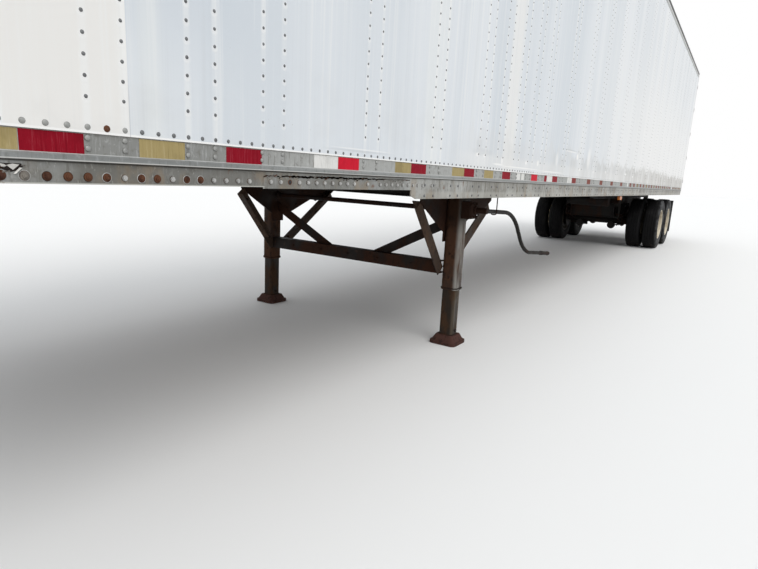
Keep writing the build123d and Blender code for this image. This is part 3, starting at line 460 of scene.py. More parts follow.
def rail_finish(name, colour):
    """Bare aluminium: scratched, with runs of white and brown down the face, dirtier below the bead, a
    painted highlight along the bead's top and a painted shade line under it.
    """
    coat = Coat(name, colour, 0.50, 0.30, 0.35)
    web = coat.ramp("Z", 1.246, 1.256)
    skirt = coat.ramp("Z", 1.246, 1.240)
    nose_end = coat.behind(1.9, 0.9)
    coat.layer((0.225, 0.225, 0.213), coat.where(nose_end, web), 0.60)
    coat.layer((0.47, 0.475, 0.460), coat.where(coat.behind(1.15, 1.75), web), 0.55)
    coat.layer((0.52, 0.51, 0.47), coat.where(coat.ramp("X", STEP_X - 0.10, STEP_X + 0.05), skirt), 0.50)
    broad = coat.noise(1.3)
    coat.layer((0.42, 0.43, 0.425), coat.band(broad, 0.44, 0.66), 0.40)
    runs = coat.noise(13.0, (5.5, 5.5, 0.55), 5.0, 0.68)
    coat.layer((0.52, 0.53, 0.53), coat.band(runs, 0.53, 0.66), 0.55)
    coat.layer((0.135, 0.130, 0.115), coat.band(runs, 0.46, 0.32), 0.60)
    blot = coat.noise(34.0, detail=5.0, rough=0.7)
    coat.layer((0.15, 0.14, 0.12), coat.band(blot, 0.54, 0.66), 0.45)
    coat.layer((0.55, 0.56, 0.55), coat.band(blot, 0.43, 0.32), 0.35)
    bead = coat.where(coat.ramp("Z", 1.2445, 1.2455), coat.ramp("Z", 1.2635, 1.2625))
    coat.layer((0.185, 0.200, 0.205), bead, 0.50)
    # Painted highlight along the top of the bead
    bead_highlight = coat.where(coat.ramp("Z", 1.2615, 1.2625), coat.ramp("Z", 1.2650, 1.2640))
    coat.layer((0.56, 0.57, 0.56), bead_highlight, 0.70)
    aft = coat.where(coat.ramp("X", STEP_X, STEP_X + 0.3), skirt)
    weathered = coat.noise(16.0, (3.0, 1, 0.35), 5.0, 0.7, 5.0)
    coat.layer((0.115, 0.095, 0.070), coat.where(aft, coat.band(weathered, 0.50, 0.66)), 0.65)
    coat.layer((0.60, 0.61, 0.60), coat.where(aft, coat.band(weathered, 0.46, 0.32)), 0.45)
    grime = coat.noise(4.5, detail=4.0)
    coat.layer((0.130, 0.120, 0.098), coat.where(skirt, coat.band(grime, 0.40, 0.64)), 0.50)
    coat.layer((0.50, 0.49, 0.45), coat.where(aft, coat.ramp("Z", 1.182, 1.165)), 0.40)
    fore = coat.where(coat.behind(2.4, 1.2), coat.behind(0.72, 0.80))
    coat.layer((0.105, 0.098, 0.082), coat.where(skirt, fore), 0.50)
    chalk = coat.noise(55.0, (2.2, 1, 0.8), 4.0, 0.7, 4.0)
    coat.layer((0.60, 0.60, 0.57), coat.where(skirt, coat.band(chalk, 0.60, 0.68)), 0.30)
    stain = coat.noise(6.5, (1.6, 1.6, 0.9), 4.0)
    coat.layer((0.30, 0.22, 0.135), coat.where(skirt, coat.band(stain, 0.52, 0.66)), 0.40)
    # Painted shade: a dark line under the bead, where it overhangs the skirt
    gap = coat.where(coat.ramp("Z", 1.2375, 1.2415), coat.ramp("Z", 1.2450, 1.2435))
    coat.layer((0.030, 0.025, 0.020), gap, 0.75)
    crest = coat.where(coat.ramp("Z", 1.2446, 1.2452), coat.ramp("Z", 1.2478, 1.2468))
    coat.layer((0.62, 0.62, 0.60), crest, 0.80)
    edge = coat.where(coat.ramp("X", SPLICE_X + 0.01, SPLICE_X), coat.ramp("Z", 1.1905, 1.1885))
    coat.layer((0.62, 0.62, 0.58), edge, 0.65)
    rust = coat.band(coat.noise(17.0, (1, 1, 0.6), 6.0, 0.7, 3.0), 0.62, 0.70)
    coat.layer((0.155, 0.070, 0.036), coat.where(rust, skirt), 0.75)
    coat.rough(0.72, coat.band(runs, 0.40, 0.60))
    coat.bump(coat.noise(60.0, detail=4.0), 0.0010, 0.40)
    coat.bump(runs, 0.0008, 0.45)
    return coat.material


def top_rail_finish(name, colour):
    """The top rail: grey, with a dark joint along its foot, a pale lip and a black band at its head."""
    coat = Coat(name, colour, 0.48, 0.15)
    runs = coat.noise(9.0, (3, 3, 0.5), 4.0, 0.6)
    coat.layer(shade(colour, 0.72), coat.band(runs, 0.50, 0.70), 0.6)
    joint = coat.ramp("Z", 4.010, 4.004)
    coat.layer((0.085, 0.085, 0.082), joint, 0.9)
    lip = coat.ramp("Z", 4.048, 4.052)
    coat.layer((0.80, 0.80, 0.79), lip, 0.85)
    cap = coat.ramp("Z", 4.0600, 4.0635)
    coat.layer((0.012, 0.012, 0.012), cap, 0.97)
    coat.rough(0.70, coat.band(runs, 0.45, 0.65))
    coat.bump(coat.noise(50.0), 0.0008, 0.4)
    return coat.material


def steel_finish(name, colour, rust, amount, gloss=0.55, scale=1.0, wear_and_sheen=None, shaded_head=False):
    """Painted steel of which an amount has gone to rust. The outboard colour is a painted sheen on the
    outboard face, given with the band where it starts, and steel with a shaded head gets painted shade at its
    head."""
    coat = Coat(name, colour, gloss, 0.0, 0.22)
    broad = coat.noise(3.4 * scale, (1, 1, 0.6), 5.0, 0.62)
    edge = 0.72 - 0.42 * amount
    coat.layer(rust, coat.band(broad, edge - 0.05, edge + 0.10), 0.92)
    deep = coat.noise(21.0 * scale, (1, 1, 0.55), 6.0, 0.7, 2.0)
    coat.layer((0.020, 0.010, 0.007), coat.band(deep, 0.48, 0.34), 0.80)
    coat.layer((0.150, 0.062, 0.028), coat.band(deep, 0.60, 0.73), 0.50 * amount)
    if wear_and_sheen:
        # Painted sheen in streaks on the outboard face
        sheen_colour, start, full = wear_and_sheen
        sheen_streaks = coat.noise(5.0 * scale, (2.4, 2.4, 0.30), 5.0, 0.65, 7.0)
        coat.layer(sheen_colour, coat.where(coat.outboard(start, full), coat.band(sheen_streaks, 0.40, 0.60)), 0.85)
    if shaded_head:
        # Painted shade at the head, under the trailer
        coat.layer((0.007, 0.003, 0.002), coat.ramp("Z", 0.84, 1.00), 0.55)
    coat.rough(0.85, coat.band(broad, edge - 0.1, edge + 0.1))
    coat.bump(coat.noise(130.0 * scale, detail=5.0, rough=0.7), 0.0012, 0.45)
    coat.bump(broad, 0.0030, 0.25)
    return coat.material


def rubber_finish(name, colour):
    """Black rubber with dust in the hollows, a grey bloom, and paler walls outboard."""
    coat = Coat(name, colour, 0.66, 0.0, 0.15)
    outboard = coat.outboard(1.250, 1.272)
    wear = coat.noise(7.0, detail=4.0)
    coat.layer((0.085, 0.088, 0.092), coat.where(outboard, coat.band(wear, 0.36, 0.62)), 0.75)
    bloom = coat.noise(4.5, detail=4.0)
    coat.layer((0.026, 0.026, 0.026), coat.band(bloom, 0.50, 0.74), 0.55)
    dust = coat.noise(19.0, detail=5.0, rough=0.65)
    low = coat.ramp("Z", 0.22, 0.02)
    coat.layer((0.080, 0.064, 0.048), coat.where(coat.band(dust, 0.46, 0.66), low), 0.55)
    coat.layer((0.050, 0.047, 0.042), coat.band(dust, 0.62, 0.76), 0.30)
    coat.rough(0.86, coat.band(bloom, 0.35, 0.70))
    coat.bump(coat.noise(160.0), 0.0007, 0.40)
    return coat.material


def wheel_finish(name, colour, rust):
    """Cream paint, chipped and bleeding rust, nearly black inboard."""
    coat = Coat(name, colour, 0.42)
    dirt = coat.noise(7.0, detail=5.0, rough=0.6)
    coat.layer((0.30, 0.235, 0.150), coat.band(dirt, 0.46, 0.68), 0.55)
    chips = coat.noise(23.0, detail=6.0, rough=0.7)
    coat.layer(rust, coat.band(chips, 0.59, 0.65), 0.90)
    inboard = coat.outboard(0.990, 0.975)
    coat.layer((0.018, 0.014, 0.011), inboard, 0.92)
    coat.rough(0.80, coat.band(dirt, 0.40, 0.65))
    coat.bump(chips, 0.0012, 0.40)
    return coat.material


def plain_finish(name, colour, roughness, metallic=0.0, spread=0.25, scale=14.0, depth=0.0008):
    """A coat with soft mottling and a fine grain, for small fittings."""
    coat = Coat(name, colour, roughness, metallic)
    mottle = coat.noise(scale, detail=4.0)
    coat.layer(shade(colour, 1 - spread), coat.band(mottle, 0.50, 0.30))
    coat.layer(shade(colour, 1 + spread), coat.band(mottle, 0.52, 0.72))
    coat.rough(min(1.0, roughness + 0.22), coat.band(mottle, 0.40, 0.66))
    coat.bump(coat.noise(scale * 9), depth, 0.4)
    return coat.material


def tape_finish(name, colour, wear_and_sheen, wear, browned=False):
    """Reflective tape with a fine grid, cracks and blots, and where it has browned, a film further aft."""
    coat = Coat(name, colour, 0.50, 0.0, 0.06)
    cracks = coat.noise(40.0, (6.0, 1, 0.25), 5.0, 0.75)
    coat.layer(wear_and_sheen, coat.band(cracks, 0.53, 0.66), wear)
    coat.layer(shade(colour, 0.60), coat.band(cracks, 0.46, 0.34), 0.6)
    blot = coat.noise(9.0, detail=4.0)
    coat.layer(shade(colour, 0.62), coat.band(blot, 0.52, 0.70), 0.5)
    if browned:
        coat.layer((0.185, 0.115, 0.075), coat.behind(4.6, 6.6), 0.62)
    coat.rough(0.70, coat.band(cracks, 0.45, 0.65))
    coat.bump(coat.cells(420.0), 0.0002, 0.35)
    coat.bump(cracks, 0.0003, 0.40)
    return coat.material


def lamp_finish(name, colour):
    """A lens moulded with upright ribs."""
    coat = Coat(name, colour, 0.16)
    grime = coat.noise(30.0, (1, 1, 0.5), 4.0)
    coat.layer(shade(colour, 0.45), coat.band(grime, 0.50, 0.72), 0.6)
    coat.rough(0.45, coat.band(grime, 0.40, 0.66))
    slanted = coat.maths("ADD", coat.axes["X"], coat.axes["Y"])
    ribs = coat.maths("SINE", coat.maths("MULTIPLY", slanted, 950.0))
    coat.bump(ribs, 0.0006, 0.5)
    return coat.material


def timber_finish(name, colour, width, axis):
    """Boards or plywood of a width, side by side along an axis, with grain along the trailer."""
    coat = Coat(name, colour, 0.62)
    grain = coat.noise(7.0, (0.5, 9, 9), 6.0, 0.62)
    coat.layer(shade(colour, 0.55), coat.band(grain, 0.46, 0.64), 0.7)
    scuffs = coat.noise(3.0, (0.6, 2.5, 2.5), 5.0, 0.7, 4.0)
    coat.layer((0.10, 0.085, 0.070), coat.band(scuffs, 0.58, 0.70), 0.55)
    place = coat.maths("FRACT", coat.steps(axis, -20 * width, width))
    joint = coat.band(coat.maths("ABSOLUTE", coat.maths("SUBTRACT", place, 0.5)), 0.47, 0.49)
    coat.layer((0.030, 0.022, 0.016), joint, 0.85)
    coat.rough(0.80, coat.band(scuffs, 0.45, 0.65))
    coat.bump(grain, 0.0010, 0.4)
    return coat.material


def make_finishes(scene):
    """Every finish, by name."""
    paint = scene.trailer_paint
    sheets = scene.trailer_sheets
    rust = paint.rust
    return {
        "sheet": sheet_finish("white_sheet", paint, sheets),
        "rail": rail_finish("bare_rail", paint.rail),
        "top_rail": top_rail_finish("top_rail_paint", (0.44, 0.45, 0.45)),
        "torn": plain_finish("torn_metal", (0.66, 0.65, 0.62), 0.36, 0.2, 0.30, 60.0, 0.0006),
        "dull": plain_finish("dull_steel", (0.185, 0.170, 0.150), 0.60, 0.3, 0.45, 70.0, 0.0006),
        "roof": plain_finish("roof_sheet", (0.66, 0.67, 0.68), 0.42, 0.1, 0.12, 1.4, 0.0015),
        "frame": plain_finish("frame_paint", (0.64, 0.65, 0.66), 0.45, 0.0, 0.18, 3.0, 0.0010),
        "door": plain_finish("door_paint", (0.72, 0.73, 0.74), 0.34, 0.0, 0.10, 2.2, 0.0008),
        "lining": timber_finish("plywood_lining", (0.42, 0.30, 0.175), 1.2192, "X"),
        "boards": timber_finish("floor_boards", (0.30, 0.185, 0.100), 0.305, "Y"),
        "gear": steel_finish("gear_steel", paint.gear, (0.052, 0.020, 0.010), 0.60, shaded_head=True),
        "brace": steel_finish("brace_steel", (0.060, 0.042, 0.032), (0.100, 0.062, 0.042), 0.55, 0.50, 1.2),
        "leg": steel_finish(
            "leg_steel", (0.036, 0.019, 0.012), (0.088, 0.040, 0.021), 0.62, 0.40,
            wear_and_sheen=((0.300, 0.290, 0.268), 0.988, 1.017), shaded_head=True,
        ),
        "inner_leg": steel_finish(
            "inner_leg_steel", (0.020, 0.014, 0.009), (0.062, 0.032, 0.016), 0.50, 0.38, 2.4,
            wear_and_sheen=((0.074, 0.058, 0.040), 0.992, 1.008),
        ),
        "shoe": steel_finish("shoe_steel", (0.034, 0.019, 0.017), (0.070, 0.031, 0.024), 0.75, 0.55, 1.5),
        "chassis": steel_finish(
            "chassis_steel", (0.010, 0.009, 0.008), (0.032, 0.015, 0.009), 0.40, 0.60, 0.8
        ),
        "spring": steel_finish("spring_steel", (0.012, 0.010, 0.009), (0.048, 0.020, 0.010), 0.60, 0.60, 1.4),
        "rust": steel_finish("rusted_steel", rust, (0.130, 0.055, 0.030), 0.70, 0.80, 3.0),
        "scale": steel_finish("rust_scale", (0.030, 0.018, 0.012), (0.085, 0.036, 0.016), 0.50, 0.90, 6.0),
        "bright": plain_finish("zinc_steel", (0.46, 0.46, 0.45), 0.38, 0.75, 0.25, 30.0, 0.0006),
        "rivet": plain_finish("rivet_metal", (0.155, 0.160, 0.165), 0.40, 0.35, 0.35, 55.0, 0.0003),
        "stud": plain_finish("stud_metal", (0.330, 0.335, 0.325), 0.45, 0.30, 0.35, 55.0, 0.0004),
        "far_rivet": plain_finish("painted_rivet", (0.56, 0.57, 0.58), 0.50, 0.0, 0.20, 55.0, 0.0003),
        "tyre": rubber_finish("tyre_rubber", paint.rubber),
        "seal": rubber_finish("seal_rubber", (0.020, 0.020, 0.021)),
        "wheel": wheel_finish("wheel_paint", paint.wheel, rust),
        "red_tape": tape_finish("red_tape", (0.270, 0.006, 0.018), (0.42, 0.085, 0.110), 0.40, True),
        "fresh_red_tape": tape_finish("fresh_red_tape", (0.64, 0.014, 0.036), (0.62, 0.10, 0.14), 0.22),
        "tan_tape": tape_finish("tan_tape", (0.400, 0.318, 0.148), (0.54, 0.46, 0.29), 0.50, True),
        "white_tape": tape_finish("white_tape", (0.80, 0.80, 0.78), (0.55, 0.55, 0.52), 0.30),
        "amber": lamp_finish("amber_lens", (0.62, 0.17, 0.015)),
        "red": lamp_finish("red_lens", (0.42, 0.012, 0.010)),
        "cast": plain_finish("cast_metal", (0.22, 0.22, 0.22), 0.48, 0.6, 0.3, 18.0),
    }


# Nodes that wear each finish
NODE_FINISHES = {
    "rail": ("left_bottom_rail", "right_bottom_rail", "nose_sill"),
    "top_rail": ("left_top_rail", "right_top_rail", "nose_rail"),
    "lining": ("left_side_wall", "right_side_wall", "front_wall"),
    "roof": ("roof",),
    "frame": ("tail_frame",),
    "door": ("left_door", "right_door"),
    "boards": ("floor",),
    "leg": ("leg_tubes",),
    "inner_leg": ("inner_legs",),
    "shoe": ("shoes",),
    "gear": ("wing_plates", "leg_brace", "leg_shaft", "leg_gearbox", "crank_hook", "coupler", "kingpin"),
    "brace": ("side_braces",),
    "chassis": (
        "crank", "floor_beams", "body_rails", "tandem_rails", "tandem_crossmembers", "spring_hangers",
        "equalizers", "radius_rods", "axles", "brake_chambers", "air_tank", "rear_guard",
    ),
    "spring": ("leaf_springs",),
    "wheel": ("front_left_wheels", "front_right_wheels", "rear_left_wheels", "rear_right_wheels"),
    "tyre": ("front_left_tyres", "front_right_tyres", "rear_left_tyres", "rear_right_tyres"),
    "seal": ("mud_flaps", "dock_bumpers"),
    "bright": ("left_hinges", "right_hinges", "left_lock_rods", "right_lock_rods"),
    "amber": ("amber_lamps",),
    "red": ("red_lamps",),
    "cast": ("air_couplings",),
}

# Materials by finish, filled by the first operator
FINISHES = {}


# Making meshes


def add_piece(name, mesh, body, smooth=True):
    """Puts a finished mesh in the scene, at the origin, riding on a body."""
    piece = bpy.data.objects.new(name, mesh)
    bpy.context.scene.collection.objects.link(piece)
    if smooth:
        for face in mesh.polygons:
            face.use_smooth = True
    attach(piece, body)
    return piece


def bmesh_piece(name, work, finishes, body, smooth=False):
    """Turns a bmesh into a piece with its finishes as material slots."""
    bmesh.ops.recalc_face_normals(work, faces=work.faces)
    mesh = bpy.data.meshes.new(name)
    work.to_mesh(mesh)
    work.free()
    for finish in finishes:
        mesh.materials.append(FINISHES[finish])
    return add_piece(name, mesh, body, smooth)


BOX_FACES = ((0, 1, 3, 2), (4, 6, 7, 5), (0, 4, 5, 1), (2, 3, 7, 6), (0, 2, 6, 4), (1, 5, 7, 3))


def slab(work, x, y, z, finish=0):
    """A box between ranges along the three axes."""
    corners = [work.verts.new((a, b, c)) for a in x for b in y for c in z]
    for loop in BOX_FACES:
        face = work.faces.new([corners[i] for i in loop])
        face.material_index = finish


def join_rings(work, rings, closed, finish=0):
    """Faces from each ring of vertices to the next and from the last to the first."""
    count = len(rings[0])
    for here, there in zip(rings, rings[1:] + rings[:1]):
        for j in range(count if closed else count - 1):
            k = (j + 1) % count
            face = work.faces.new((here[j], here[k], there[k], there[j]))
            face.material_index = finish


def turned(work, profile, centre, axis, steps, finish=0, closed=False):
    """Turns a profile of (radius, distance along the axis) about an axis through centre."""
    axis = Vector(axis).normalized()
    side = axis.orthogonal().normalized()
    up = axis.cross(side)
    rings = []
    for i in range(steps):
        turn = 2 * math.pi * i / steps
        out = side * math.cos(turn) + up * math.sin(turn)
        rings.append([work.verts.new(Vector(centre) + out * r + axis * a) for r, a in profile])
    join_rings(work, rings, closed, finish)


def rod(work, points, radius, steps=8, finish=0):
    """A round rod along straight runs, closed at both ends."""
    rings = []
    side = None
    for i, point in enumerate(points):
        ahead = (Vector(points[min(i + 1, len(points) - 1)]) - Vector(points[max(i - 1, 0)])).normalized()
        side = ahead.orthogonal() if side is None else side - ahead * side.dot(ahead)
        side.normalize()
        up = ahead.cross(side)
        ring = []
        for k in range(steps):
            turn = 2 * math.pi * k / steps
            out = side * math.cos(turn) + up * math.sin(turn)
            ring.append(work.verts.new(Vector(point) + out * radius))
        rings.append(ring)
    for here, there in zip(rings, rings[1:]):
        for k in range(steps):
            face = work.faces.new((here[k], here[(k + 1) % steps], there[(k + 1) % steps], there[k]))
            face.material_index = finish
    for ring in (rings[0], rings[-1]):
        work.faces.new(ring).material_index = finish


def across(side, near, far):
    """The range across the trailer, on one side, between two distances from its middle."""
    return sorted((side * near, side * far))


# Geometry Nodes trees


class Tree(Graph):
    """A Geometry Nodes tree with named inputs for its sizes, seed and finish, built node by node."""

    def __init__(self, name, **sizes):
        self.tree = bpy.data.node_groups.new(name, "GeometryNodeTree")
        super().__init__(self.tree)
        self.socket("Carrier", "NodeSocketGeometry")
        for label, value in sizes.items():
            kind = "NodeSocketInt" if isinstance(value, int) else "NodeSocketFloat"
            self.socket(label.replace("_", " "), kind).default_value = value
        self.socket("Finish", "NodeSocketMaterial")
        self.socket("Geometry", "NodeSocketGeometry", "OUTPUT")
        self.given = self.nodes.new("NodeGroupInput").outputs
        self.result = self.nodes.new("NodeGroupOutput").inputs["Geometry"]

    def socket(self, label, kind, way="INPUT"):
        """A named input or output of the whole tree."""
        return self.tree.interface.new_socket(label, in_out=way, socket_type=kind)

    def chance(self, low, high):
        """A random number for each point, from the tree's own seed."""
        random_value = self.node("FunctionNodeRandomValue", {"Seed": self.given["Seed"]}, data_type="FLOAT")
        self.put(random_value.inputs[2], low)
        self.put(random_value.inputs[3], high)
        return random_value.outputs[1]

    def stepped(self):
        """Points along the carrier's edges, a pitch apart."""
        lines = self.node("GeometryNodeMeshToCurve", {"Mesh": self.given["Carrier"]})
        values = {"Curve": lines.outputs[0], "Length": self.given["Pitch"]}
        return self.node("GeometryNodeResampleCurve", values, mode="LENGTH").outputs[0]

    def finish(self, points, piece, **values):
        """Sets a piece on every point, makes all of it real and gives it its finish."""
        spread = self.node("GeometryNodeInstanceOnPoints", {"Points": points, "Instance": piece, **values})
        whole = self.node("GeometryNodeRealizeInstances", {"Geometry": spread.outputs[0]})
        values = {"Geometry": whole.outputs[0], "Material": self.given["Finish"]}
        self.put(self.result, self.node("GeometryNodeSetMaterial", values).outputs[0])
        return self.tree


def facing_turn(tree, spin=None):
    """A rotation that stands a head up along the carrier's facing, with a spin about it."""
    facing = tree.node("GeometryNodeInputNamedAttribute", {"Name": "facing"}, data_type="FLOAT_VECTOR")
    values = {"Vector": facing.outputs["Attribute"]}
    turn = tree.node("FunctionNodeAlignRotationToVector", values, axis="Z").outputs[0]
    if spin is None:
        return turn
    angles = tree.node("ShaderNodeCombineXYZ", {"Z": spin}).outputs[0]
    spun = tree.node("FunctionNodeRotateRotation", {"Rotation": turn}, rotation_space="LOCAL")
    tree.put(spun.inputs["Rotate By"], angles)
    return spun.outputs[0]


def rivet_tree():
    """Rivet heads at even steps along the carrier's edges."""
    tree = Tree("rivet_rows", Pitch=0.05, Radius=0.006, Height=0.003, Segments=8, Uneven=0.06, Seed=1)
    values = {"Segments": tree.given["Segments"], "Rings": 4, "Radius": 1.0}
    ball = tree.node("GeometryNodeMeshUVSphere", values)
    place = tree.node("GeometryNodeInputPosition")
    parts = tree.node("ShaderNodeSeparateXYZ", {"Vector": place.outputs[0]})
    domed = tree.maths("MAXIMUM", parts.outputs["Z"], 0.0)
    joined = tree.node("ShaderNodeCombineXYZ", {"X": parts.outputs["X"], "Y": parts.outputs["Y"], "Z": domed})
    head = tree.node("GeometryNodeSetPosition", {"Geometry": ball.outputs[0], "Position": joined.outputs[0]})
    size = tree.node(
        "ShaderNodeCombineXYZ",
        {"X": tree.given["Radius"], "Y": tree.given["Radius"], "Z": tree.given["Height"]},
    )
    sized = tree.node("GeometryNodeTransform", {"Geometry": head.outputs[0], "Scale": size.outputs[0]})
    scale = tree.chance(tree.maths("SUBTRACT", 1.0, tree.given["Uneven"]), 1.0)
    return tree.finish(tree.stepped(), sized.outputs[0], Rotation=facing_turn(tree), Scale=scale)


def bolt_tree():
    """A washer, a six-sided head and the bolt's end on each point of the carrier, turned at random."""
    tree = Tree(
        "bolt_heads", Head_Radius=0.008, Head_Height=0.005, Washer_Radius=0.011, Washer_Thickness=0.0015,
        Shank_Radius=0.004, Shank_Height=0.007, Seed=1,
    )
    together = tree.node("GeometryNodeJoinGeometry")
    for part, depth, sides, taper in (
        ("Washer", "Thickness", 16, 0.95), ("Head", "Height", 6, 0.9), ("Shank", "Height", 8, 0.8),
    ):
        radius = tree.given[part + " Radius"]
        values = {
            "Vertices": sides, "Radius Bottom": radius, "Radius Top": tree.maths("MULTIPLY", radius, taper),
            "Depth": tree.given[f"{part} {depth}"],
        }
        tree.put(together.inputs[0], tree.node("GeometryNodeMeshCone", values).outputs[0])
    turn = facing_turn(tree, tree.chance(0.0, math.pi / 3))
    return tree.finish(tree.given["Carrier"], together.outputs[0], Rotation=turn)


def weld_tree():
    """A weld bead: lumps laid close along the carrier's edges."""
    tree = Tree("weld_bead", Pitch=0.006, Radius=0.006, Seed=1)
    lump = tree.node("GeometryNodeMeshIcoSphere", {"Radius": tree.given["Radius"], "Subdivisions": 1})
    return tree.finish(tree.stepped(), lump.outputs[0], Scale=tree.chance(0.8, 1.15))


# Geometry Nodes trees, filled by the first operator
TREES = {}


def carrier_mesh(name, lines, facings):
    """Edges, or lone points, with the way each faces. A line is a list of points."""
    work = bmesh.new()
    facing = work.verts.layers.float_vector.new("facing")
    for line, way in zip(lines, facings):
        made = []
        for point in line:
            vertex = work.verts.new(point)
            vertex[facing] = Vector(way)
            made.append(vertex)
        for a, b in zip(made, made[1:]):
            work.edges.new((a, b))
    mesh = bpy.data.meshes.new(name)
    work.to_mesh(mesh)
    work.free()
    return mesh


def grow(name, tree, lines, facings, values, finish, body, smooth=True):
    """Runs a tree on its carrier and keeps the result as a plain mesh on a body."""
    holder = bpy.data.objects.new(name + "_carrier", carrier_mesh(name, lines, facings))
    bpy.context.scene.collection.objects.link(holder)
    modifier = holder.modifiers.new("heads", "NODES")
    modifier.node_group = TREES[tree]
    sockets = {
        item.name: item.identifier
        for item in TREES[tree].interface.items_tree
        if item.item_type == "SOCKET" and item.in_out == "INPUT"
    }
    for label, value in {**values, "Finish": FINISHES[finish]}.items():
        modifier[sockets[label]] = value
    depsgraph = bpy.context.evaluated_depsgraph_get()
    mesh = bpy.data.meshes.new_from_object(holder.evaluated_get(depsgraph), depsgraph=depsgraph)
    bpy.data.objects.remove(holder)
    if not mesh.polygons:
        raise RuntimeError(f"{name} came out empty")
    return add_piece(name, mesh, body, smooth)


def evenly(start, end, pitch):
    """Places from start to end at about the pitch, both ends included."""
    count = max(1, round((end - start) / pitch))
    return [start + (end - start) * i / count for i in range(count + 1)]


def post_lines(sheets):
    """X of every rivet line on a side, nose to tail."""
    lines = []
    for n in range(math.ceil(2 * (WALL_REAR - NOSE_X) / sheets.post_pitch)):
        start = NOSE_X + FIRST_POST + n * sheets.post_pitch / 2
        if n % 2 == 0 or n in CLOSE_POSTS:
            lines += [start, start + sheets.line_gap]
    return [x for x in lines if x < WALL_REAR - 0.05]


# Operators


class TRAILER_OT_finishes(bpy.types.Operator):
    """Makes the finishes and the trees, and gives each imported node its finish"""

    bl_idname = "trailer.finishes"
    bl_label = "Finishes"

    def execute(self, context):
        FINISHES.update(make_finishes(context.scene))
        TREES.update(rivets=rivet_tree(), bolts=bolt_tree(), welds=weld_tree())
        for finish, nodes in NODE_FINISHES.items():
            for name in nodes:
                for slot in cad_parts[name].material_slots:
                    slot.material = FINISHES[finish]
        return {"FINISHED"}


def hollow(x, z, dents):
    """How far a sheet sits out from its plane at a place, or in, in metres."""
    sway = noise.noise(Vector((x * 1.9, z * 0.8, 3.0))) * 0.0005
    for place, height, reach, depth in dents:
        away = math.hypot((x - place) / reach, (z - height) / (reach * 0.7))
        if away < 1:
            sway -= depth * (1 - away * away) ** 2
    return sway


# The side sheets' grid is fine where the dents are: up to a height, and on the left side up to a distance
# behind the nose. Above the second height it is coarse.
FINE_HEAD = 1.62
COARSE_FOOT = 1.66
FINE_REAR = 6.6

# Dents low on the left side: distance behind the nose, height, reach and depth
LEFT_DENTS = (
    (2.12, 1.372, 0.05, 0.0012), (3.23, 1.405, 0.07, 0.0016), (3.31, 1.400, 0.05, 0.0014),
    (3.63, 1.380, 0.09, 0.0016), (4.14, 1.389, 0.10, 0.0015), (4.42, 1.385, 0.09, 0.0016),
    (5.00, 1.551, 0.16, 0.0012), (5.64, 1.571, 0.18, 0.0014), (5.77, 1.387, 0.12, 0.0015),
    (6.33, 1.394, 0.14, 0.0014), (7.60, 1.420, 0.16, 0.0012), (9.10, 1.400, 0.18, 0.0014),
)


def closed_sheet(work, columns, rows, front, back):
    """A sheet over a grid of places: front and back give a point for a column and a row."""
    face = [[work.verts.new(front(u, v)) for v in rows] for u in columns]
    for a, b in zip(face, face[1:]):
        for i in range(len(rows) - 1):
            work.faces.new((a[i], b[i], b[i + 1], a[i + 1]))
    end = len(columns) - 1
    head = len(rows) - 1
    rim = [(u, 0) for u in range(end)] + [(end, v) for v in range(head)]
    rim += [(u, head) for u in range(end, 0, -1)] + [(0, v) for v in range(head, 0, -1)]
    edge = [face[u][v] for u, v in rim]
    behind = [work.verts.new(back(columns[u], rows[v])) for u, v in rim]
    for i in range(len(rim)):
        j = (i + 1) % len(rim)
        work.faces.new((edge[i], behind[i], behind[j], edge[j]))
    work.faces.new(behind)


class TRAILER_OT_side_sheets(bpy.types.Operator):
    """Lays the lapped side sheets over both walls, with their dents"""

    bl_idname = "trailer.side_sheets"
    bl_label = "Side sheets"

    def execute(self, context):
        sheets = context.scene.trailer_sheets
        seams = [WALL_FRONT + 0.03]
        seam = NOSE_X + sheets.first_seam
        while seam < WALL_REAR - 0.2:
            seams.append(seam)
            seam += sheets.sheet_width
        seams.append(WALL_REAR)
        rows = evenly(WALL_FOOT, FINE_HEAD, 0.022) + evenly(COARSE_FOOT, WALL_HEAD - 0.001, 0.10)
        for side, name in SIDES:
            dents = []
            if side < 0:
                dents = [(NOSE_X + x, z, reach, depth) for x, z, reach, depth in LEFT_DENTS]
            work = bmesh.new()
            for start, end in zip(seams, seams[1:]):
                fine = side < 0 and end < NOSE_X + FINE_REAR
                columns = evenly(start, end, 0.030 if fine else 0.085)

                def front(x, z):
                    lap = 0.0009 * (x - start) / (end - start)
                    out = sheets.stand_off - 0.0006 + lap + hollow(x, z, dents)
                    return (x, side * (WALL_Y + out), z)

                def back(x, z):
                    return (x, side * (WALL_Y - 0.0004), z)

                closed_sheet(work, columns, rows, front, back)
            piece = bmesh_piece(f"{name}_side_sheets", work, ["sheet"], "trailer", True)
            mark_sharp(piece.data)
        return {"FINISHED"}


def mark_sharp(mesh, angle=math.radians(35)):
    """Keeps edges sharper than an angle crisp on a smooth mesh."""
    work = bmesh.new()
    work.from_mesh(mesh)
    for edge in work.edges:
        edge.smooth = len(edge.link_faces) == 2 and edge.calc_face_angle(0.0) < angle
    work.to_mesh(mesh)
    work.free()


def nose_path(out):
    """Plan of the nose from the left side round to the right, at a distance out from the wall."""
    half = WALL_Y + out
    front = NOSE_X - out
    radius = NOSE_RADIUS + out
    corner = 9
    path = [(WALL_FRONT + 0.0295, -half)]
    for i in range(corner):
        turn = math.pi / 2 * i / (corner - 1)
        path.append((front + radius - radius * math.sin(turn), -half + radius - radius * math.cos(turn)))
    straight = evenly(path[-1][1], -path[-1][1], 0.10)[1:-1]
    path += [(front, y) for y in straight]
    return path + [(x, -y) for x, y in reversed(path[: corner + 1])]


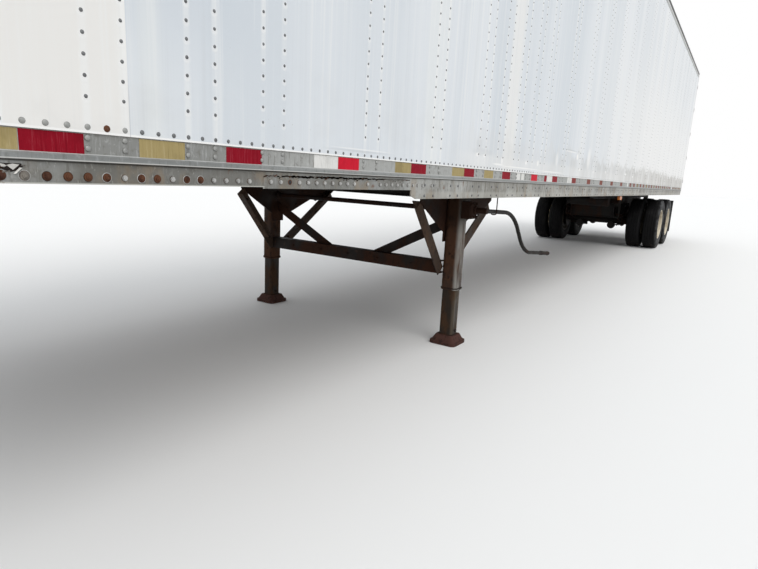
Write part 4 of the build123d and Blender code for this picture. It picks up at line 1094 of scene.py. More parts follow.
# The nose's rivets: Y of its outer posts, the gap between a post's two lines, the end of its rows across,
# and the height of the row at its seam
NOSE_POSTS = (-1.10, 1.10)
NOSE_LINE_GAP = 0.0508
NOSE_ROW_END = 1.15
NOSE_SEAM_Z = 2.6416


def wall_rivets(sheets, radius, segments, seed, closeness=1.0):
    """Inputs of the rivet tree for rows on the sheets."""
    return {
        "Pitch": sheets.rivet_pitch * closeness, "Radius": radius, "Height": sheets.head_height,
        "Segments": segments, "Seed": seed,
    }


class TRAILER_OT_nose_sheets(bpy.types.Operator):
    """Lays the nose sheet round the front, with the rivets of its posts and edges"""

    bl_idname = "trailer.nose_sheets"
    bl_label = "Nose sheets"

    def execute(self, context):
        sheets = context.scene.trailer_sheets
        outer = nose_path(sheets.stand_off - 0.0006)
        inner = nose_path(-0.0004)
        rows = evenly(WALL_FOOT, WALL_HEAD - 0.001, 0.10)
        work = bmesh.new()
        columns = range(len(outer))
        closed_sheet(work, columns, rows, lambda u, z: (*outer[u], z), lambda u, z: (*inner[u], z))
        piece = bmesh_piece("nose_sheet", work, ["sheet"], "trailer", True)
        mark_sharp(piece.data)
        x = NOSE_X - sheets.stand_off + 0.0008
        lines = []
        for post in evenly(*NOSE_POSTS, 0.4064):
            for y in (post - NOSE_LINE_GAP / 2, post + NOSE_LINE_GAP / 2):
                lines.append([(x, y, WALL_FOOT + 0.09), (x, y, WALL_HEAD - 0.04)])
        for z in (WALL_FOOT + 0.015, WALL_HEAD - 0.015, NOSE_SEAM_Z):
            lines.append([(x, -NOSE_ROW_END, z), (x, NOSE_ROW_END, z)])
        grow(
            "nose_rivets", "rivets", lines, [(-1, 0, 0)] * len(lines),
            wall_rivets(sheets, sheets.post_rivet, 8, 5), "rivet", "trailer",
        )
        return {"FINISHED"}


# Rivet rows of a side's posts are drawn with rounder heads up to this distance behind the nose
FORE_POSTS = 3.4

# Rows along the foot and the head: first and last place on the rivet grid, height over the sheet's foot at
# both ends, radius as a share of the setting, segments and finish
EDGE_ROWS = (
    ("nose", -15, 2, 0.0155, 0.0155, 1.26, 12, "stud"),
    ("fore", 3, 36, 0.0150, 0.0120, 1.00, 10, "rivet"),
    ("middle", 37, 69, 0.0120, 0.0120, 1.00, 8, "rivet"),
    ("aft", 70, 301, 0.0120, 0.0120, 0.90, 6, "far_rivet"),
)


class TRAILER_OT_side_rivets(bpy.types.Operator):
    """Rivets the side sheets to their posts and along the foot and the head"""

    bl_idname = "trailer.side_rivets"
    bl_label = "Side rivets"

    def execute(self, context):
        sheets = context.scene.trailer_sheets
        pitch = sheets.rivet_pitch
        fore_end = NOSE_X + FORE_POSTS
        posts = (("fore", 12, NOSE_X, fore_end), ("aft", 6, fore_end, WALL_REAR))
        post_head = POST_FOOT + math.floor((WALL_HEAD - 0.04 - POST_FOOT) / pitch) * pitch
        for side, name in SIDES:
            way = (0, side, 0)
            y = side * (WALL_Y + sheets.stand_off - 0.0005)
            for part, segments, low, high in posts:
                places = [x for x in post_lines(sheets) if low <= x < high]
                lines = [[(x, y, POST_FOOT), (x, y, post_head)] for x in places]
                grow(
                    f"{name}_post_rivets_{part}", "rivets", lines, [way] * len(lines),
                    wall_rivets(sheets, sheets.post_rivet, segments, 11), "rivet", "trailer",
                )
            for part, first, last, low, high, radius, segments, finish in EDGE_ROWS:
                start, end = (NOSE_X + FIRST_POST + n * pitch for n in (first, last))
                if part == "nose":
                    start += pitch * math.ceil((WALL_FRONT + 0.04 - start) / pitch)
                edges = [
                    [(start, y, WALL_FOOT + low), (end, y, WALL_FOOT + high)],
                    [(start, y, WALL_HEAD - 0.014), (end, y, WALL_HEAD - 0.014)],
                ]
                grow(
                    f"{name}_edge_rivets_{part}", "rivets", edges, [way] * 2,
                    wall_rivets(sheets, radius * sheets.edge_rivet, segments, 12, 0.998), finish, "trailer",
                )
        return {"FINISHED"}


# Heights of the rail's rivets, on the web and on the skirt beside the floor beams, and of the skirt's bolts
WEB_RIVETS_Z = (1.2785, 1.3050)
SKIRT_RIVETS_Z = (1.151, 1.208)
BOLT_Z = 1.205

# Floor beams behind the step: the first, from one to the next, how many, and their rivets' distance
FIRST_BEAM = 2.6392
BEAM_PITCH = 0.3048
BEAMS = 44
BESIDE_BEAM = 0.049

# Bolts along the skirt: how far behind the nose place 0 is, from one place to the next, all the places,
# and then the places of each kind, of the gaps at the splice and of the lost bolt
FIRST_BOLT = 0.797
BOLT_PITCH = 0.0504
BOLT_PLACES = range(-11, 38)
LAST_RUSTED = 12
SOUND_BOLTS = (2, 5, 8, 9, 10, 11)
DIRTY_BOLTS = (-9, -3)
RINGED_BOLTS = (-3, 1, 3, 6, 7)
SPLICE_GAPS = (12, 24, 26, 36)
LOST_BOLT = 15

# The rusty rivet in the left side's foot row, counted from the first post
RUSTY_RIVET = 1

RUSTED_BOLT = {
    "Head Radius": 0.0074, "Head Height": 0.0070, "Washer Radius": 0.0112, "Washer Thickness": 0.0030,
    "Shank Radius": 0.0042, "Shank Height": 0.0088, "Seed": 23,
}
SOUND_BOLT = {
    **RUSTED_BOLT, "Head Height": 0.0062, "Washer Radius": 0.0084, "Shank Radius": 0.0034,
    "Shank Height": 0.0072,
}
LOW_WASHER = {**RUSTED_BOLT, "Head Radius": 0.0060, "Head Height": 0.0010, "Shank Height": 0.0010}
SHADOW = {**LOW_WASHER, "Washer Radius": 0.0124, "Washer Thickness": 0.0012}
THIN_SHADOW = {**LOW_WASHER, "Washer Radius": 0.0094, "Washer Thickness": 0.0010}
BRIGHT_RING = {**LOW_WASHER, "Washer Radius": 0.0136, "Washer Thickness": 0.0008}

# Profiles of the lost bolt's hole, a flat black disc of painted shade, and its rim, and of the rusty rivet
HOLE = ((0.0001, 0.0004), (0.0074, 0.0004), (0.0074, 0.0))
HOLE_RIM = ((0.0074, 0.0), (0.0080, 0.0014), (0.0100, 0.0006), (0.0104, 0.0))
RUSTY_HEAD = ((0.0092, 0.0), (0.0088, 0.0015), (0.0060, 0.0026), (0.0001, 0.0030))


def rail_rivets(side, name, sheets):
    """Rivets on the web at every rivet line, and on the skirt beside every floor beam."""
    way = (0, side, 0)
    y = side * (RAIL_WEB_Y - 0.0001)
    lines = [[(x, y, z) for z in WEB_RIVETS_Z] for x in post_lines(sheets)]
    grow(
        f"{name}_rail_rivets", "rivets", lines, [way] * len(lines),
        {"Pitch": 0.0265, "Radius": 0.0094, "Height": 0.0052, "Segments": 12, "Seed": 21},
        "stud", "trailer",
    )
    y = side * (RAIL_SKIRT_Y - 0.0001)
    lines = []
    for n in range(BEAMS):
        beam = NOSE_X + FIRST_BEAM + BEAM_PITCH * n
        for x in (beam - BESIDE_BEAM, beam + BESIDE_BEAM):
            if STEP_X + 0.06 < x < WALL_REAR - 0.02:
                lines.append([(x, y, z) for z in SKIRT_RIVETS_Z])
    sizes = {"Pitch": 0.057, "Radius": 0.0082, "Height": 0.0046, "Segments": 12, "Seed": 22, "Uneven": 0.12}
    grow(
        f"{name}_skirt_rivets", "rivets", lines, [way] * len(lines), sizes, "rivet", "trailer",
    )


def rail_bolts(side, name):
    """Bolts along the skirt, rusted, dirty and sound, with dark discs of painted shadow under them and bright
    rings on some.
    """
    rusted = []
    dirty = []
    sound = []
    ringed = []
    for n in BOLT_PLACES:
        if n in SPLICE_GAPS or (n == LOST_BOLT and side < 0):
            continue
        x = NOSE_X + FIRST_BOLT + n * BOLT_PITCH
        stand = SPLICE_STAND if SPLICE_X < x < STEP_X else 0.0
        point = [(x, side * (RAIL_SKIRT_Y - 0.0001 + stand), BOLT_Z)]
        if n > LAST_RUSTED or n in SOUND_BOLTS:
            sound.append(point)
        elif n in DIRTY_BOLTS:
            dirty.append(point)
        else:
            rusted.append(point)
        if n in RINGED_BOLTS:
            ringed.append(point)
    # The dark discs under the bolts are painted shadow
    for points, finish, kind, sizes in (
        (rusted, "rust", "rusted", RUSTED_BOLT), (rusted + dirty, "scale", "shadowed", SHADOW),
        (sound, "scale", "shadow_rimmed", THIN_SHADOW), (ringed, "bright", "ringed", BRIGHT_RING),
        (dirty, "dull", "dirty", RUSTED_BOLT), (sound, "bright", "clean", SOUND_BOLT),
    ):
        grow(
            f"{name}_{kind}_bolts", "bolts", points, [(0, side, 0)] * len(points), sizes, finish, "trailer",
            False,
        )


def odd_fasteners(sheets):
    """The lost bolt's hole, a flat black disc of painted shade, and the rusty rivet, on the left side."""
    way = (0, -1, 0)
    work = bmesh.new()
    x = NOSE_X + FIRST_BOLT + LOST_BOLT * BOLT_PITCH
    lost = (x, -(RAIL_SKIRT_Y - 0.0001) - SPLICE_STAND, BOLT_Z)
    # The hole's depth is painted shade on a flat black disc
    turned(work, HOLE, lost, way, 20, 0)
    turned(work, HOLE_RIM, lost, way, 20, 1)
    x = NOSE_X + FIRST_POST + RUSTY_RIVET * sheets.rivet_pitch
    rusty = (x, -WALL_Y - sheets.stand_off + 0.0005, WALL_FOOT + 0.0155)
    turned(work, RUSTY_HEAD, rusty, way, 20, 1)
    bmesh_piece("odd_fasteners", work, ["seal", "rust"], "trailer", True)


class TRAILER_OT_rail_fasteners(bpy.types.Operator):
    """Sets the rail's rivets, the skirt's rivets beside every floor beam, and the bolts along the skirt"""

    bl_idname = "trailer.rail_fasteners"
    bl_label = "Rail fasteners"

    def execute(self, context):
        sheets = context.scene.trailer_sheets
        for side, name in SIDES:
            rail_rivets(side, name, sheets)
            rail_bolts(side, name)
        odd_fasteners(sheets)
        return {"FINISHED"}


# Reflective tape on the rail: distance behind the nose, length and finish
RAIL_TAPE = (
    (0.170, 0.150, "tan_tape"), (0.320, 0.155, "red_tape"), (0.480, 0.157, "tan_tape"),
    (0.637, 0.154, "red_tape"), (0.943, 0.151, "tan_tape"), (1.250, 0.159, "red_tape"),
    (1.686, 0.152, "white_tape"), (1.838, 0.148, "fresh_red_tape"), (2.281, 0.151, "tan_tape"),
    (2.432, 0.156, "red_tape"), (2.895, 0.161, "tan_tape"), (3.056, 0.145, "red_tape"),
    (3.357, 0.151, "tan_tape"), (3.670, 0.155, "red_tape"), (3.947, 0.086, "white_tape"),
    (4.055, 0.066, "white_tape"), (4.284, 0.149, "fresh_red_tape"), (4.617, 0.069, "red_tape"),
    (4.686, 0.158, "white_tape"), (4.844, 0.150, "red_tape"), (5.323, 0.160, "white_tape"),
    (5.483, 0.153, "red_tape"), (6.090, 0.148, "red_tape"), (6.690, 0.148, "red_tape"),
    (7.290, 0.148, "red_tape"), (7.920, 0.148, "red_tape"), (8.430, 0.085, "white_tape"),
    (13.860, 0.110, "white_tape"),
)

# Runs of like pieces further back: first and last place, step, and the finishes in turn
TAPE_RUNS = (
    (8.620, 13.700, 0.3048, ("red_tape", "red_tape", "tan_tape")),
    (14.120, 15.800, 0.3048, ("red_tape", "tan_tape")),
)
RUN_PIECE = 0.146
TAPE_FOOT = 1.2645
TAPE_HEAD = 1.3146


class TRAILER_OT_rail_tape(bpy.types.Operator):
    """Sticks the pieces of reflective tape along both rails"""

    bl_idname = "trailer.rail_tape"
    bl_label = "Rail tape"

    def execute(self, context):
        finishes = ["red_tape", "fresh_red_tape", "tan_tape", "white_tape"]
        strips = list(RAIL_TAPE)
        for first, last, step, turn in TAPE_RUNS:
            for n in range(int((last - first) / step) + 1):
                strips.append((first + n * step, RUN_PIECE, turn[n % len(turn)]))
        chance = random.Random(7)
        work = bmesh.new()
        for side, _ in SIDES:
            y = across(side, RAIL_WEB_Y - 0.0002, RAIL_WEB_Y + 0.0005)
            for start, length, finish in strips:
                x = NOSE_X + start
                low = TAPE_FOOT + chance.uniform(-0.0006, 0.0008)
                high = TAPE_HEAD + chance.uniform(-0.0010, 0.0006)
                slab(work, (x + 0.001, x + length - 0.001), y, (low, high), finishes.index(finish))
        bmesh_piece("rail_tape", work, finishes, "trailer")
        return {"FINISHED"}


# Torn bits of the left rail: finish, then corners as distance behind the nose, height and stand-off. The
# first is a dark plate, painted shade in the hole, and the others curl outwards about it and ahead of it.
TORN_PIECES = (
    ("gear", (
        (0.588, 1.233, 0.0006), (0.640, 1.233, 0.0006), (0.644, 1.2265, 0.0006),
        (0.630, 1.2170, 0.0006), (0.618, 1.2130, 0.0006), (0.604, 1.2170, 0.0006),
        (0.590, 1.2235, 0.0006),
    )),
    ("torn", (
        (0.6085, 1.2285, 0.0014), (0.6200, 1.2322, 0.0050), (0.6335, 1.2305, 0.0075),
        (0.6215, 1.2178, 0.0018),
    )),
    ("torn", (
        (0.5945, 1.2322, 0.0012), (0.6022, 1.2305, 0.0048), (0.6075, 1.2270, 0.0060),
        (0.6035, 1.2235, 0.0020), (0.5975, 1.2245, 0.0012),
    )),
    ("torn", (
        (0.6222, 1.2092, 0.0012), (0.6262, 1.2088, 0.0032), (0.6392, 1.2228, 0.0055),
        (0.6358, 1.2238, 0.0020),
    )),
    ("dull", (
        (0.6400, 1.2302, 0.0014), (0.6478, 1.2292, 0.0050), (0.6470, 1.2270, 0.0030),
        (0.6405, 1.2280, 0.0012),
    )),
    ("dull", (
        (0.5930, 1.2098, 0.0012), (0.6130, 1.2132, 0.0042), (0.6140, 1.2165, 0.0058),
        (0.5945, 1.2128, 0.0014),
    )),
    ("torn", (
        (0.5480, 1.2270, 0.0012), (0.5620, 1.2315, 0.0060), (0.5690, 1.2240, 0.0040),
        (0.5560, 1.2205, 0.0012),
    )),
    ("dull", (
        (0.4980, 1.2190, 0.0012), (0.5230, 1.2235, 0.0055), (0.5260, 1.2195, 0.0030),
        (0.5010, 1.2160, 0.0012),
    )),
)
CORROSION = ["scale", "rust", "dull", "torn", "gear"]

# Ends of the corroded gap under the bead, and where the hole starts, as distances behind the nose, and how
# far flakes reach from the hole towards the nose
GAP_START = 1.425
GAP_END = 2.43
HOLE_START = 0.59
FLAKES_REACH = 0.27


def corroded_gap_shade(work, chance):
    """A ragged dark strip of painted shade in the corroded gap on the left skirt, widest in its first part
    and thin near the step.
    """
    places = evenly(NOSE_X + GAP_START, NOSE_X + GAP_END, 0.009)
    above = []
    below = []
    for x in places:
        along = (x - places[0]) / (places[-1] - places[0])
        opening = 0.0012
        if along < 0.8:
            opening = 0.0032 * math.sin(math.pi * min(1.0, along * 1.25)) ** 0.6 + 0.0006
        middle = 1.2255 + 0.0045 * along + chance.uniform(-0.0012, 0.0012)
        above.append((x, -RAIL_SKIRT_Y - 0.0007, middle + opening * chance.uniform(0.5, 1.5)))
        below.append((x, -RAIL_SKIRT_Y - 0.0007, middle - opening * chance.uniform(0.4, 1.6)))
    top = [work.verts.new(place) for place in above]
    foot = [work.verts.new(place) for place in below]
    for i in range(len(places) - 1):
        work.faces.new((foot[i], foot[i + 1], top[i + 1], top[i]))


def flake(work, chance, x, z, size):
    """One five-cornered flake that lifts off the left skirt, in scale, rust or dull metal."""
    corners = []
    for k in range(5):
        turn = 2 * math.pi * k / 5 + chance.uniform(-0.4, 0.4)
        reach = size * chance.uniform(0.5, 1.1)
        lift = chance.uniform(0.0006, 0.0035)
        rise = reach * math.sin(turn) * 0.6 + 0.6 * reach * math.cos(turn)
        corners.append(work.verts.new((x + reach * math.cos(turn) * 1.8, -RAIL_SKIRT_Y - lift, z + rise)))
    work.faces.new(corners).material_index = chance.choice((0, 0, 0, 1, 2, 2))


def torn_piece(work, finish, corners):
    """One torn bit of the rail, a thin plate between a front and a back."""
    front = [work.verts.new((NOSE_X + x, -RAIL_SKIRT_Y - out - 0.0006, z)) for x, z, out in corners]
    back = [work.verts.new((NOSE_X + x, -RAIL_SKIRT_Y - out + 0.0002, z)) for x, z, out in corners]
    work.faces.new(front).material_index = finish
    work.faces.new(back).material_index = finish
    for i in range(len(corners)):
        j = (i + 1) % len(corners)
        work.faces.new((front[i], front[j], back[j], back[i])).material_index = finish


class TRAILER_OT_rail_damage(bpy.types.Operator):
    """Adds the corroded gap under the bead, the torn edge near the nose, and the splice plate"""

    bl_idname = "trailer.rail_damage"
    bl_label = "Rail damage"

    def execute(self, context):
        chance = random.Random(31)
        work = bmesh.new()
        corroded_gap_shade(work, chance)
        flakes = []
        for _ in range(60):
            x = NOSE_X + GAP_START + (GAP_END - GAP_START) * chance.random() ** 1.4
            z = 1.2265 + chance.uniform(-0.009, 0.004)
            flakes.append((x, z, chance.uniform(0.002, 0.007)))
        for _ in range(70):
            x = NOSE_X + HOLE_START - FLAKES_REACH * chance.random() ** 1.5
            z = chance.uniform(1.212, 1.236)
            flakes.append((x, z, chance.uniform(0.0025, 0.0075)))
        for x, z, size in flakes:
            flake(work, chance, x, z, size)
        bmesh.ops.solidify(work, geom=list(work.faces), thickness=0.0005)
        for finish, corners in TORN_PIECES:
            torn_piece(work, CORROSION.index(finish), corners)
        bmesh_piece("rail_corrosion", work, CORROSION, "trailer")
        work = bmesh.new()
        for side, _ in SIDES:
            plate = across(side, RAIL_SKIRT_Y - 0.0005, RAIL_SKIRT_Y + SPLICE_STAND)
            slab(work, (SPLICE_X, STEP_X - 0.001), plate, (SHALLOW_Z - 0.0055, 1.2195))
            lip = across(side, RAIL_SKIRT_Y - 0.004, RAIL_SKIRT_Y + 0.0028)
            slab(work, (WALL_FRONT + 0.002, NOSE_X + GAP_START), lip, (SHALLOW_Z, SHALLOW_Z + 0.0035))
            slab(work, (STEP_X + 0.05, WALL_REAR), lip, (RAIL_FOOT, RAIL_FOOT + 0.0035))
        bmesh_piece("splice_plates", work, ["rail"], "trailer")
        return {"FINISHED"}


# A tyre's outline from the bead out to the tread: radius and distance from its middle
SIDEWALL = (
    (0.300, 0.112), (0.306, 0.120), (0.318, 0.126), (0.322, 0.130), (0.330, 0.1305), (0.334, 0.128),
    (0.352, 0.1345), (0.380, 0.1392), (0.405, 0.1398), (0.430, 0.1385), (0.448, 0.1368), (0.452, 0.1350),
    (0.458, 0.1352), (0.462, 0.1330), (0.478, 0.1300), (0.492, 0.1250), (0.503, 0.1170),
)
TREAD_EDGE = (0.5105, 0.1080)
BEAD = ((0.290, -0.104), (0.2875, -0.060), (0.2875, 0.060), (0.290, 0.104))

# Middles of the tread's grooves, the tread's radius, which falls off towards the shoulders, how far the
# grooves swing to each side, and how deep the shoulders are notched
GROOVES = (0.074, 0.028, -0.028, -0.074)
CROWN = 0.5148
CROWN_FALL = 0.35
ZIGZAG = 0.0022
NOTCH = 0.0045

# The middle of a pair, from one tyre of it to the other, the height of its axle, and where the pairs are
DUAL_Y = 0.985
DUAL_PITCH = 0.330
WHEEL_Z = 0.515
WHEEL_SETS = [
    (place, side, name, x)
    for place, x in (("front", 4.845), ("rear", 6.090))
    for side, name in SIDES
]


def groove(tyres, middle, swing):
    """A groove's four corners, from its one edge down and up to the other."""
    at = middle + swing
    edge = tyres.groove_width / 2
    crown = CROWN - CROWN_FALL * middle * middle
    foot = crown - tyres.groove_depth
    return [(crown, at + edge), (foot, at + edge * 0.45), (foot, at - edge * 0.45), (crown, at - edge)]


def tyre_outline(tyres, swing):
    """A closed outline from bead to bead over the grooved tread, with the grooves swung sideways."""
    half = [*SIDEWALL, TREAD_EDGE]
    tread = [corner for middle in GROOVES for corner in groove(tyres, middle, swing)]
    return half + tread + [(r, -w) for r, w in reversed(half)] + list(BEAD)


def tyre(work, tyres, x, y):
    """One tyre: its outline turned in steps, with zigzag grooves and notched shoulders."""
    centre = Vector((x, y, WHEEL_Z))
    rings = []
    for i in range(tyres.steps):
        turn = 2 * math.pi * i / tyres.steps
        out = Vector((math.cos(turn), 0, math.sin(turn)))
        zigzag = ZIGZAG * (1 if (i // 2) % 2 else -1)
        notch = NOTCH if i % 4 == 0 else 0.0
        ring = []
        for r, w in tyre_outline(tyres, zigzag):
            if 0.100 < abs(w) < 0.109 or (0.500 < r < 0.512 and abs(w) > 0.1):
                r -= notch
            ring.append(work.verts.new(centre + out * r + Vector((0, w, 0))))
        rings.append(ring)
    join_rings(work, rings, True)


class TRAILER_OT_tyres(bpy.types.Operator):
    """Makes the road tyres, two to a wheel pair"""

    bl_idname = "trailer.tyres"
    bl_label = "Tyres"

    def execute(self, context):
        tyres = context.scene.trailer_tyres
        for place, side, name, x in WHEEL_SETS:
            work = bmesh.new()
            for dual in (-1, 1):
                tyre(work, tyres, x, side * (DUAL_Y + dual * DUAL_PITCH / 2))
            body = f"{place}_{name}_wheel_pair"
            piece = bmesh_piece(f"{place}_{name}_road_tyres", work, ["tyre"], body, True)
            mark_sharp(piece.data, math.radians(40))
            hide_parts(f"{place}_{name}_tyres")
        return {"FINISHED"}


# How far out from the middle of a pair its nuts sit
NUT_FACE = 0.0115
WHEEL_NUT = {
    "Head Radius": 0.0190, "Head Height": 0.0240, "Washer Radius": 0.0225, "Washer Thickness": 0.0050,
    "Shank Radius": 0.0108, "Shank Height": 0.0420, "Seed": 41,
}

# Profiles of the hub's ring and its cap: radius and distance out from the middle of the pair
HUB_RING = ((0.093, 0.056), (0.096, 0.060), (0.096, 0.074), (0.090, 0.078), (0.084, 0.078), (0.084, 0.056))
HUB_CAP = ((0.0001, 0.1315), (0.030, 0.1335), (0.034, 0.1305), (0.034, 0.128), (0.0001, 0.128))

# A valve stem's bends: distance ahead of its foot and out from it
STEM_BENDS = ((0, 0), (-0.012, 0.035), (-0.032, 0.052))


def rim_lip(face, edge):
    """Profile of a rim's rolled lip about its face, on the side that edge, -1 or 1, gives."""
    return [
        (0.2905, face - edge * 0.004), (0.2985, face + edge * 0.0025), (0.3045, face + edge * 0.001),
        (0.3045, face - edge * 0.005), (0.299, face - edge * 0.008),
    ]


def wheel_nuts(name, side, x, tyres, body):
    """A circle of nuts on one pair's face."""
    nuts = []
    for n in range(tyres.studs):
        turn = 2 * math.pi * (n + 0.5) / tyres.studs
        away = x + tyres.stud_circle * math.cos(turn)
        up = WHEEL_Z + tyres.stud_circle * math.sin(turn)
        nuts.append([(away, side * (DUAL_Y + NUT_FACE), up)])
    grow(name, "bolts", nuts, [(0, side, 0)] * len(nuts), WHEEL_NUT, "rust", body, False)


def wheel_trim(name, side, x, body):
    """The hub's ring and cap, the four lips of the rims and the valve of one pair."""
    way = (0, side, 0)
    work = bmesh.new()
    centre = (x, side * DUAL_Y, WHEEL_Z)
    turned(work, HUB_RING, centre, way, 40, 0, True)
    turned(work, HUB_CAP, centre, way, 32, 1, True)
    for dual in (-1, 1):
        for edge in (-1, 1):
            lip = rim_lip(dual * DUAL_PITCH / 2 + edge * 0.124, edge)
            turned(work, lip, centre, way, 64, 2, True)
    foot = Vector((x + 0.245, side * (DUAL_Y + 0.098), WHEEL_Z + 0.02))
    rod(work, [foot + Vector((ahead, side * out, 0)) for ahead, out in STEM_BENDS], 0.0045, 8, 3)
    piece = bmesh_piece(name, work, ["cast", "amber", "wheel", "bright"], body, True)
    mark_sharp(piece.data)


class TRAILER_OT_wheel_fittings(bpy.types.Operator):
    """Adds wheel nuts, the hub's ring and cap, the rims' lips and the valves"""

    bl_idname = "trailer.wheel_fittings"
    bl_label = "Wheel fittings"

    def execute(self, context):
        for place, side, name, x in WHEEL_SETS:
            body = f"{place}_{name}_wheel_pair"
            wheel_nuts(f"{place}_{name}_wheel_nuts", side, x, context.scene.trailer_tyres, body)
            wheel_trim(f"{place}_{name}_wheel_trim", side, x, body)
        return {"FINISHED"}


# The legs' middles, and their tubes' half widths and corner radii
LEG_X = (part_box("leg_tubes")[0].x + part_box("leg_tubes")[1].x) / 2
LEG_Y = 0.957
LEG_HALF = 0.0635
LEG_CORNER = 0.034
INNER_HALF = 0.054
INNER_CORNER = 0.026
WING_FACE_Y = LEG_Y - LEG_HALF


def round_loop(x, y, z, half, corner, steps=5):
    """A closed path round an upright square tube with rounded corners."""
    path = []
    for quarter in range(4):
        facing = math.pi / 2 * quarter + math.pi / 4
        middle_x = x + math.copysign(half - corner, math.cos(facing))
        middle_y = y + math.copysign(half - corner, math.sin(facing))
        for step in range(steps + 1):
            turn = math.pi / 2 * (quarter + step / steps)
            path.append((middle_x + corner * math.cos(turn), middle_y + corner * math.sin(turn), z))
    return path + path[:1]


# Bolts on the wing plates and on the braces' ends: distance behind the leg, and height. Then those along
# the crossbar: distance from the trailer's middle, and height
PLATE_BOLTS = (
    (-0.40, 1.100), (-0.31, 1.100), (-0.20, 1.105), (0.18, 1.105), (0.40, 1.105), (0.60, 1.105),
    (0.73, 1.105), (0.25, 0.935), (0.42, 1.010),
)
BRACE_BOLTS = ((-0.385, 0.985), (0.645, 0.965), (-0.115, 0.640), (0.135, 0.625))
CROSSBAR_BOLTS_Y = (-0.62, -0.30, 0.0, 0.30, 0.62)
CROSSBAR_Z = 0.588

LEG_BOLT = {
    "Head Radius": 0.0095, "Head Height": 0.0080, "Washer Radius": 0.0130, "Washer Thickness": 0.0025,
    "Shank Radius": 0.0055, "Shank Height": 0.0115, "Seed": 51,
}

# Heights of the welds, and of the shoe's pin, the leg's plugs and the cross shaft
PLATE_WELD_Z = (0.79, 0.86)
TUBE_WELD_Z = 0.437
SHOE_WELD_Z = 0.072
PIN_Z = 0.105
PLUGS_Z = (0.52, 0.70)
SHAFT_Z = 1.025

# Profiles of small turned fittings: radius and distance along the axis
PLUG = ((0.0001, 0.004), (0.007, 0.0035), (0.009, 0.0), (0.0001, 0.0))
SHAFT_COLLAR = (
    (0.0131, 0.0), (0.034, 0.0), (0.034, 0.010), (0.024, 0.016), (0.024, 0.034), (0.0131, 0.034),
)
GEARBOX_COLLAR = ((0.0211, 0.0), (0.036, 0.0), (0.034, 0.010), (0.028, 0.014), (0.0211, 0.014))
GRIP_RING = ((0.0181, -0.004), (0.0205, -0.003), (0.0205, 0.003), (0.0181, 0.004))

# The gearbox's front face on the left leg, the ends of the crank's grip, and the rings along the grip
GEARBOX_Y = -LEG_Y - 0.128
GRIP_START = Vector((-2.960, -1.165, 0.5970))
GRIP_END = Vector((-2.690, -1.165, 0.5680))
GRIP_RINGS = (0.02, 0.06, 0.245)


def leg_welds(side):
    """Lines of the welds on one leg: down the wing plate, and round the foot of each tube."""
    y = side * WING_FACE_Y
    lines = [[(x, y, z) for z in PLATE_WELD_Z] for x in (LEG_X - 0.068, LEG_X + 0.068)]
    lines.append(round_loop(LEG_X, side * LEG_Y, TUBE_WELD_Z, LEG_HALF + 0.003, LEG_CORNER + 0.003))
    lines.append(round_loop(LEG_X, side * LEG_Y, SHOE_WELD_Z, INNER_HALF + 0.003, INNER_CORNER + 0.003))
    return lines


def leg_bolts():
    """Places of all bolts of the landing gear, with the way each faces."""
    bolts = []
    for side, _ in SIDES:
        inboard = side * (WING_FACE_Y - 0.008)
        bolts += [((LEG_X + x, inboard, z), (0, -side, 0)) for x, z in PLATE_BOLTS]
        bolts += [((LEG_X + x, inboard - side * 0.0071, z), (0, -side, 0)) for x, z in BRACE_BOLTS]
    for x in (-0.044, 0.0, 0.044):
        bolts += [((LEG_X + x, GEARBOX_Y - 0.0041, z), (0, -1, 0)) for z in (0.985, 1.075)]
    bolts += [((LEG_X - LEG_HALF - 0.0061, y, CROSSBAR_Z), (-1, 0, 0)) for y in CROSSBAR_BOLTS_Y]
    return bolts


def leg_fittings():
    """Shoe pins, plugs and shaft collars of both legs, the gearbox's cover and the rings of the grip."""
    work = bmesh.new()
    for side, _ in SIDES:
        y = side * LEG_Y
        rod(work, [(LEG_X, y - 0.0665, PIN_Z), (LEG_X, y + 0.0665, PIN_Z)], 0.0120, 14)
        for z in PLUGS_Z:
            turned(work, PLUG, (LEG_X - LEG_HALF + 0.0001, y, z), (-1, 0, 0), 12, 0, True)
        shaft = (LEG_X, side * (WING_FACE_Y - 0.008), SHAFT_Z)
        turned(work, SHAFT_COLLAR, shaft, (0, -side, 0), 28, 0, True)
    slab(work, (LEG_X - 0.054, LEG_X + 0.054), (GEARBOX_Y - 0.004, GEARBOX_Y + 0.001), (0.976, 1.084))
    turned(work, GEARBOX_COLLAR, (LEG_X + 0.030, GEARBOX_Y - 0.003, 1.030), (0, -1, 0), 28, 0, True)
    along = (GRIP_END - GRIP_START).normalized()
    for step in GRIP_RINGS:
        turned(work, GRIP_RING, GRIP_START + along * step, along, 18, 0, True)
    bmesh_piece("leg_fittings", work, ["gear"], "trailer", True)


class TRAILER_OT_landing_gear(bpy.types.Operator):
    """Adds the welds, bolts, collars, gearbox cover, grip rings and shoe pins of the landing gear"""

    bl_idname = "trailer.landing_gear"
    bl_label = "Landing gear"

    def execute(self, context):
        leg_fittings()
        places = leg_bolts()
        bolts = [[point] for point, _ in places]
        faces = [way for _, way in places]
        grow("leg_bolts", "bolts", bolts, faces, LEG_BOLT, "gear", "trailer", False)
        welds = [line for side, _ in SIDES for line in leg_welds(side)]
        sizes = {"Pitch": 0.0065, "Radius": 0.0055, "Seed": 52}
        grow("leg_welds", "welds", welds, [(0, 0, 1)] * len(welds), sizes, "gear", "trailer")
        return {"FINISHED"}


DOOR_BOLT = {
    "Head Radius": 0.0080, "Head Height": 0.0050, "Washer Radius": 0.0095, "Washer Thickness": 0.0015,
    "Shank Radius": 0.0040, "Shank Height": 0.0062, "Seed": 61,
}

